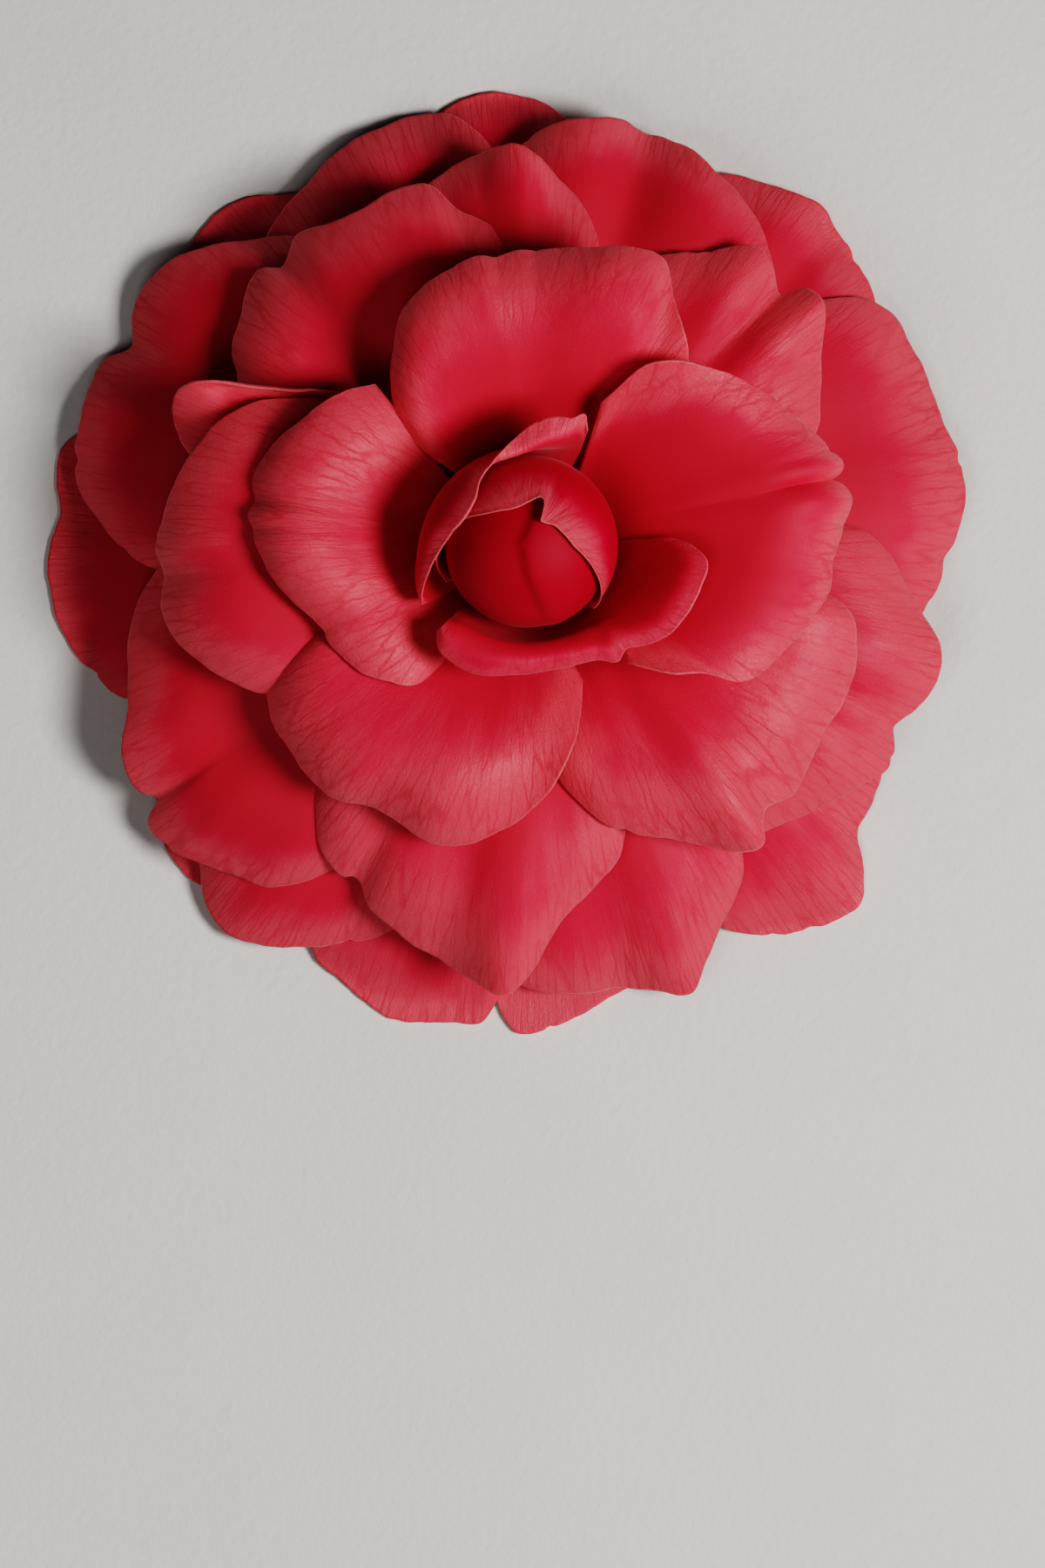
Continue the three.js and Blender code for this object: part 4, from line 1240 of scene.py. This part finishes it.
# %% The scale material
def scale_material(name, base, flush, margin, dryness):
    """Leathery skin, flushed towards the rim, striped along its length and spotted where dry."""
    fixed = {
        "IOR": 1.45,
        "Specular IOR Level": 0.4,
        "Subsurface Weight": 0.08,
        "Subsurface Radius": (0.6, 0.6, 0.2),
        "Subsurface Scale": 0.001,
        "Sheen Weight": 0.25,
        "Sheen Roughness": 0.4,
        "Sheen Tint": (1.0, 0.98, 0.85, 1.0),
    }
    material, board, shader = surface(name, fixed)
    across, out = petal_map(board)
    which = carried(board, "petal_number")
    place = object_place(board)
    stripe = noise(joined(board, across * 34.0, out * 2.0, which), 1.0, 2.0, 0.6, 0.3)
    cloud = noise(place, 240.0, 3.0, 0.6)
    spot = step(noise(place, 900.0, 2.0, 0.5), 0.62, 0.7)
    side = abs(across - 0.5) * 2.0
    rim_near = step(larger(out, side ** 3.0), 0.93, 1.0)
    flushed = step(out + (cloud - 0.5) * 0.9 + (stripe - 0.5) * 0.3, 0.45, 1.0)
    colour = blend(flushed * 0.8, base, flush)
    colour = blend(step(stripe, 0.5, 0.7) * 0.35, colour, margin)
    colour = blend(spot * (0.25 + dryness), colour, rgb(0.16, 0.07, 0.03))
    colour = blend(rim_near * 0.7, colour, margin)
    feed(board, shader, "Base Color", colour)
    feed(board, shader, "Roughness", 0.5 + (cloud - 0.5) * 0.3 + dryness * 0.2)
    relief(board, shader, stripe * 0.7 + spot * 0.2 + cloud * 0.3, 0.18 * MM)
    return material


SEPAL_SKIN = scale_material(
    "sepal_skin", rgb(0.34, 0.36, 0.09), rgb(0.20, 0.075, 0.05), rgb(0.58, 0.50, 0.24), dryness=0.05)
BRACT_SKIN = scale_material(
    "bract_skin", rgb(0.26, 0.23, 0.07), rgb(0.17, 0.075, 0.035), rgb(0.42, 0.30, 0.15), dryness=0.4)
print("calyx materials:", SEPAL_SKIN.name, BRACT_SKIN.name)

# %% Grow the sepals and bracts
SCALES = {  # level, bearing, reach in mm, half angle
    "sepal_1": (-0.9, 30, 16.5, 33),
    "sepal_2": (-1.25, 102, 16.0, 34),
    "sepal_3": (-0.9, 174, 16.8, 33),
    "sepal_4": (-1.25, 246, 15.8, 34),
    "sepal_5": (-1.6, 318, 15.2, 34),
    "bract_1": (-1.95, 66, 11.0, 40),
    "bract_2": (-1.95, 210, 10.5, 40),
    "bract_3": (-2.75, 138, 8.6, 38),
    "bract_4": (-2.75, 292, 8.4, 38),
}
SCALE_SIDES = (-1, -0.8, -0.45, 0, 0.45, 0.8, 1)  # shares of the half angle at which the rim is set


def grow_scale(name, number, level, bearing, reach, half_angle):
    """Grows one sepal or bract, which differ in thickness and skin."""
    rim = [(bearing + half_angle * side, reach * math.sqrt(1 - 0.5 * side * side)) for side in SCALE_SIDES]
    edge, values = petal_edge(name, rim, [(bearing, 0.25, 8)], 14, 2.5, waviness=0.5, count=56)
    kind = name.split("_")[0]
    return fanned(name, number, level, bearing, SCALE_CLAW_HALF_WIDTH, edge, values, {
        "Rows": 26,
        "Ruffle": 0.15 * MM,
        "Crown": -0.15 * MM,
        "Bloom": 1.0,
        "Thickness": (0.75 if kind == "sepal" else 0.6) * MM,
        "Edge thickness": 0.25 * MM,
        "Ridge height": 0.04 * MM,
        "Ridges across": 30.0,
        "Swell height": 0.12 * MM,
        "Skin": SEPAL_SKIN if kind == "sepal" else BRACT_SKIN,
    })


scales = [grow_scale(name, 50 + place, *values) for place, (name, values) in enumerate(SCALES.items())]
print("scales grown:", len(scales))

# %% [markdown]
# ## Silky down on the calyx
#
# The outer faces of the scales are covered in fine silky hairs, pressed flat and pointing to the rim.
# Particles or hair curves don't survive an export, so the hairs are thin three-sided needles that a tree
# scatters over the lower faces, and makes real. Each has only a few faces, as there are thousands.


# %% The down tree
def down_tree():
    wants = {"Scales": "mesh", "Hairs per square metre": float, "Length": float, "Width": float}
    wants |= {"Seed": int, "Down": "material"}
    board, given = geometry_board("silky down", wants)
    outer = step(recall(board, "under"), 0.4, 0.6)
    scatter = board.node("GeometryNodeDistributePointsOnFaces", {"distribute_method": "RANDOM"}, {
        "Mesh": given.of("Scales"), "Selection": outer, "Density": given.of("Hairs per square metre"),
        "Seed": given.of("Seed")})
    x, y, _ = parts(board.node("GeometryNodeInputPosition"))
    away_x, away_y = x - AXIS.x, y - AXIS.y
    reach = (away_x * away_x + away_y * away_y) ** 0.5 + 1e-6  # never 0, as it divides below
    normal_x, normal_y, normal_z = parts(scatter.of("Normal"))

    def chance(low, high, seed):
        limits = {"Min": low, "Max": high, "Seed": seed}
        return board.node("FunctionNodeRandomValue", {"data_type": "FLOAT"}, limits)

    way = joined(
        board,
        away_x / reach + normal_x * 0.35 + chance(-0.35, 0.35, 1),
        away_y / reach + normal_y * 0.35 + chance(-0.35, 0.35, 2),
        normal_z * 0.3 + 0.1,
    )
    turned = board.node("FunctionNodeAlignRotationToVector", {"axis": "Z"}, {"Vector": way})
    needle = board.node("GeometryNodeMeshCone", {"fill_type": "NGON"}, {
        "Vertices": 3, "Side Segments": 1, "Radius Top": 0.0, "Radius Bottom": given.of("Width"),
        "Depth": given.of("Length")})
    size = chance(0.5, 1.2, 3)
    hairs = board.node("GeometryNodeInstanceOnPoints", {}, {
        "Points": scatter, "Instance": needle, "Rotation": turned,
        "Scale": joined(board, size, size, size)})
    deliver(board, hairs, given.of("Down"))
    return board.tree


DOWN = down_tree()
print("down tree:", len(DOWN.nodes), "nodes")

# %% Scatter the down
down_skin, down_board, down_shader = surface("silky_down", {"Roughness": 0.35, "Sheen Weight": 0.3})
down_cloud = noise(object_place(down_board), 500.0)
feed(down_board, down_shader, "Base Color", blend(down_cloud, rgb(0.62, 0.55, 0.34), rgb(0.82, 0.78, 0.60)))

gathered = bmesh.new()
for scale in scales:
    gathered.from_mesh(scale.data)
coat = bpy.data.meshes.new("scales")
gathered.to_mesh(coat)
gathered.free()
hairs = grown("silky_down", placed("scales", coat), DOWN, {
    "Hairs per square metre": 4.0e6, "Length": 0.9 * MM, "Width": 0.022 * MM, "Seed": 5, "Down": down_skin})
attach(hairs, "root")
print("hairs:", len(hairs.data.vertices) // 4)

# %% [markdown]
# ## Receptacle and stalk
#
# The receptacle is the fleshy cone that every petal grows from. Each petal leaves a low, crescent-shaped
# ledge on it, so its side rises in a spiral of shallow steps. Below it stands the short woody stalk: grey-
# brown bark with rings where older bracts fell off, and a clean cut that shows the paler wood and pith.
#
# Both are round, so each is spun from a profile, and the profile's radius changes a little with the
# bearing so that neither looks turned on a lathe.


# %% Spin a closed, slightly uneven body
def spun(node, profile, around, swell, skin):
    """A closed body round the axis. The swell gives the change of radius at a bearing and height."""
    rings = []
    for radius, height in profile[1:-1]:
        angles = [2 * math.pi * k / around for k in range(around)]
        reaches = [radius + swell(angle, radius, height) for angle in angles]
        rings.append([(r * math.cos(a), r * math.sin(a), height) for r, a in zip(reaches, angles)])
    ends = [(0.0, 0.0, profile[0][1]), (0.0, 0.0, profile[-1][1])]
    mesh = closed_body("fine_" + node, rings, *ends, skin)
    settle(placed("fine_" + node, mesh), node)
    print(node, "spun from", len(rings), "rings")


# %% Receptacle
flesh, flesh_board, flesh_shader = surface("receptacle_flesh", {
    "Specular IOR Level": 0.4, "Subsurface Weight": 0.15, "Subsurface Radius": (0.6, 0.8, 0.2),
    "Subsurface Scale": 0.001})
flesh_place = object_place(flesh_board)
flesh_cloud = noise(flesh_place, 380.0, 3.0)
flesh_colour = blend(flesh_cloud, rgb(0.28, 0.36, 0.10), rgb(0.52, 0.50, 0.22))
feed(flesh_board, flesh_shader, "Base Color", flesh_colour)
feed(flesh_board, flesh_shader, "Roughness", 0.5 + (flesh_cloud - 0.5) * 0.3)
relief(flesh_board, flesh_shader, noise(flesh_place, 1500.0, 3.0), 0.1 * MM)

SEAT = 0.3  # mm by which each claw reaches into the flesh
LEDGE_DEPTH = 0.16
FOOT_HEIGHT, HEAD_HEIGHT = 3.0, 17.6
side = [(bowl(level)["Claw reach"] - SEAT, bowl(level)["Claw height"])
        for level in (-2.7, -1.6, -0.6, 0.0, 2.0, 4.0, 6.0, 7.6)]
side = smooth_curve([(2.0, 3.05), *side, (2.2, 17.55)], 46)
body = [(0.0, FOOT_HEIGHT), *(tuple(spot) for spot in side), (0.0, HEAD_HEIGHT)]


def ledges(angle, radius, height):
    """Shallow steps that climb round the cone, one turn for every five petals."""
    climb = (height * 0.9 + 5 * angle / (2 * math.pi)) % 1.0
    return -LEDGE_DEPTH * climb * min(1.0, radius / 4)


spun("receptacle", body, 90, ledges, flesh)

# %% Stalk
bark, bark_board, bark_shader = surface("stalk_bark", {"Specular IOR Level": 0.3})
bark_x, bark_y, bark_z = parts(object_place(bark_board))
from_axis = (((bark_x - AXIS.x) ** 2.0 + (bark_y - AXIS.y) ** 2.0) ** 0.5) * (1 / MM)
fibre = noise(joined(bark_board, bark_x * 3000.0, bark_y * 3000.0, bark_z * 500.0), 1.0, 3.0, 0.6)
crack = step(fibre, 0.56, 0.64)
bark_colour = blend(fibre, rgb(0.13, 0.085, 0.045), rgb(0.34, 0.26, 0.16))
bark_colour = blend(crack * 0.6, bark_colour, rgb(0.05, 0.03, 0.02))
growth = sine(from_axis * 22.0) * 0.5 + 0.5  # the rings of the wood
wood = blend(growth * 0.5 + fibre * 0.3, rgb(0.62, 0.55, 0.33), rgb(0.48, 0.39, 0.20))
wood = blend(1.0 - step(from_axis, 0.35, 0.5), wood, rgb(0.35, 0.24, 0.12))  # the pith
wood = blend(step(from_axis, 1.75, 1.9), wood, rgb(0.24, 0.30, 0.08))  # the green layer under bark
cut = (1.0 - step(bark_z, 0.02 * MM, 0.12 * MM)) * (1.0 - step(from_axis, 2.05, 2.12))
feed(bark_board, bark_shader, "Base Color", blend(cut, bark_colour, wood))
feed(bark_board, bark_shader, "Roughness", 0.85 - cut * 0.2)
relief(bark_board, bark_shader, fibre * 0.6 - crack * 0.4, 0.15 * MM)

SCARS = ((1.9, 0.10, 0.16), (0.95, 0.07, 0.12))  # height, how far each stands out, half width
CUT_FACE = [  # (radius, height) from the middle of the cut out to its edge
    (0.0, 0.0), (0.4, 0.0), (1.0, 0.0), (1.7, 0.0), (2.24, 0.0), (2.3, 0.06),
]
HEAD_FACE = [(2.0, 2.68), (1.2, 2.7), (0.0, 2.7)]
BARK_STARTS = 1.8  # the cut faces inside this radius stay flat and round


def scars(angle, radius, height):
    """Rings where bracts fell off, and an uneven side."""
    ring = sum(out * math.exp(-(((height - middle) / width) ** 2)) for middle, out, width in SCARS)
    rough = 0.05 * math.sin(3 * angle + 1) + 0.03 * math.sin(7 * angle + height * 2)
    return (ring + rough) * (1 if radius > BARK_STARTS else 0)


side = [(2.3 - 0.2 * min(height / 1.1, 1), height) for height in np.linspace(0.15, 2.55, 26)]
spun("pedicel", CUT_FACE + side + HEAD_FACE, 72, scars, bark)

# %% [markdown]
# ## Table, light and camera
#
# The flower lies on a plain pale table. A soft lamp hangs high on the right, so petals are bright where
# they face it and the throat stays dark, and a weaker one at the near left keeps that side from going
# black. The picture's look has a strong contrast and a lowered gamma: together they keep the shadows
# between petals deep and still let the middle reds glow. The camera looks straight down on the flower
# through a long lens, as one looks at a bloom that faces the viewer.

# %% Table
TABLE_HALF = 2.0  # metres, far more than the picture takes in
table_paint, paint_board, paint = surface("table_paint", {"Roughness": 0.85, "Specular IOR Level": 0.2})
table_place = object_place(paint_board)
mottle = noise(table_place, 40.0, 4.0, 0.6)
feed(paint_board, paint, "Base Color", blend(mottle, rgb(0.70, 0.69, 0.67), rgb(0.76, 0.75, 0.73)))
relief(paint_board, paint, noise(table_place, 900.0, 3.0), 0.1 * MM)
table_top = bpy.data.meshes.new("table")
corners = [(x * TABLE_HALF, y * TABLE_HALF, 0.0) for x, y in ((-1, -1), (1, -1), (1, 1), (-1, 1))]
table_top.from_pydata(corners, [], [(0, 1, 2, 3)])
table_top.materials.append(table_paint)
table = placed("table", table_top)
print("table:", 2 * TABLE_HALF, "m wide")


# %% Light
LIT_POINT = Vector((AXIS.x, AXIS.y, 20.0 * MM))


def soft_lamp(name, place, size, power, colour):
    """A round lamp that faces the flower."""
    light = bpy.data.lights.new(name, "AREA")
    light.shape = "DISK"
    light.size = size
    light.energy = power
    light.color = colour
    lamp = placed(name, light)
    lamp.location = place
    lamp.rotation_euler = (LIT_POINT - lamp.location).to_track_quat("-Z", "Y").to_euler()


soft_lamp("key", (0.48, -0.12, 0.65), 0.3, 5.1, (1.0, 0.97, 0.95))
soft_lamp("fill", (-0.22, -0.36, 0.70), 0.45, 1.1, (1.0, 0.98, 0.97))

world = bpy.data.worlds.new("studio")
world.use_nodes = True
sky = world.node_tree.nodes["Background"].inputs
sky["Color"].default_value = rgb(0.93, 0.95, 1.0)
sky["Strength"].default_value = 0.05
bpy.context.scene.world = world
view = bpy.context.scene.view_settings
view.view_transform = "Filmic"
view.look = "Very High Contrast"
view.exposure = 0.22
view.gamma = 0.74
print("two lamps and a faint sky; look:", view.look)

# %% Camera
LENS = 200.0  # mm
SENSOR = 36.0  # mm, along the picture's long side
VIEW_HEIGHT = 171.0 * MM  # what the picture's long side takes in at the petals
PETAL_LEVEL = 20.0 * MM
FLOWER_ABOVE_MIDDLE = 26.1 * MM  # the flower lies above the middle of the picture
FLOWER_RIGHT_OF_MIDDLE = 0.76 * MM
camera_data = bpy.data.cameras.new("camera")
camera_data.lens = LENS
camera_data.sensor_width = SENSOR
camera = placed("camera", camera_data)
distance = VIEW_HEIGHT * LENS / SENSOR
across_picture, up_picture = AXIS.x - FLOWER_RIGHT_OF_MIDDLE, AXIS.y - FLOWER_ABOVE_MIDDLE
camera.location = (across_picture, up_picture, PETAL_LEVEL + distance)
bpy.context.scene.camera = camera
print("camera", round(distance, 3), "m above the petals")
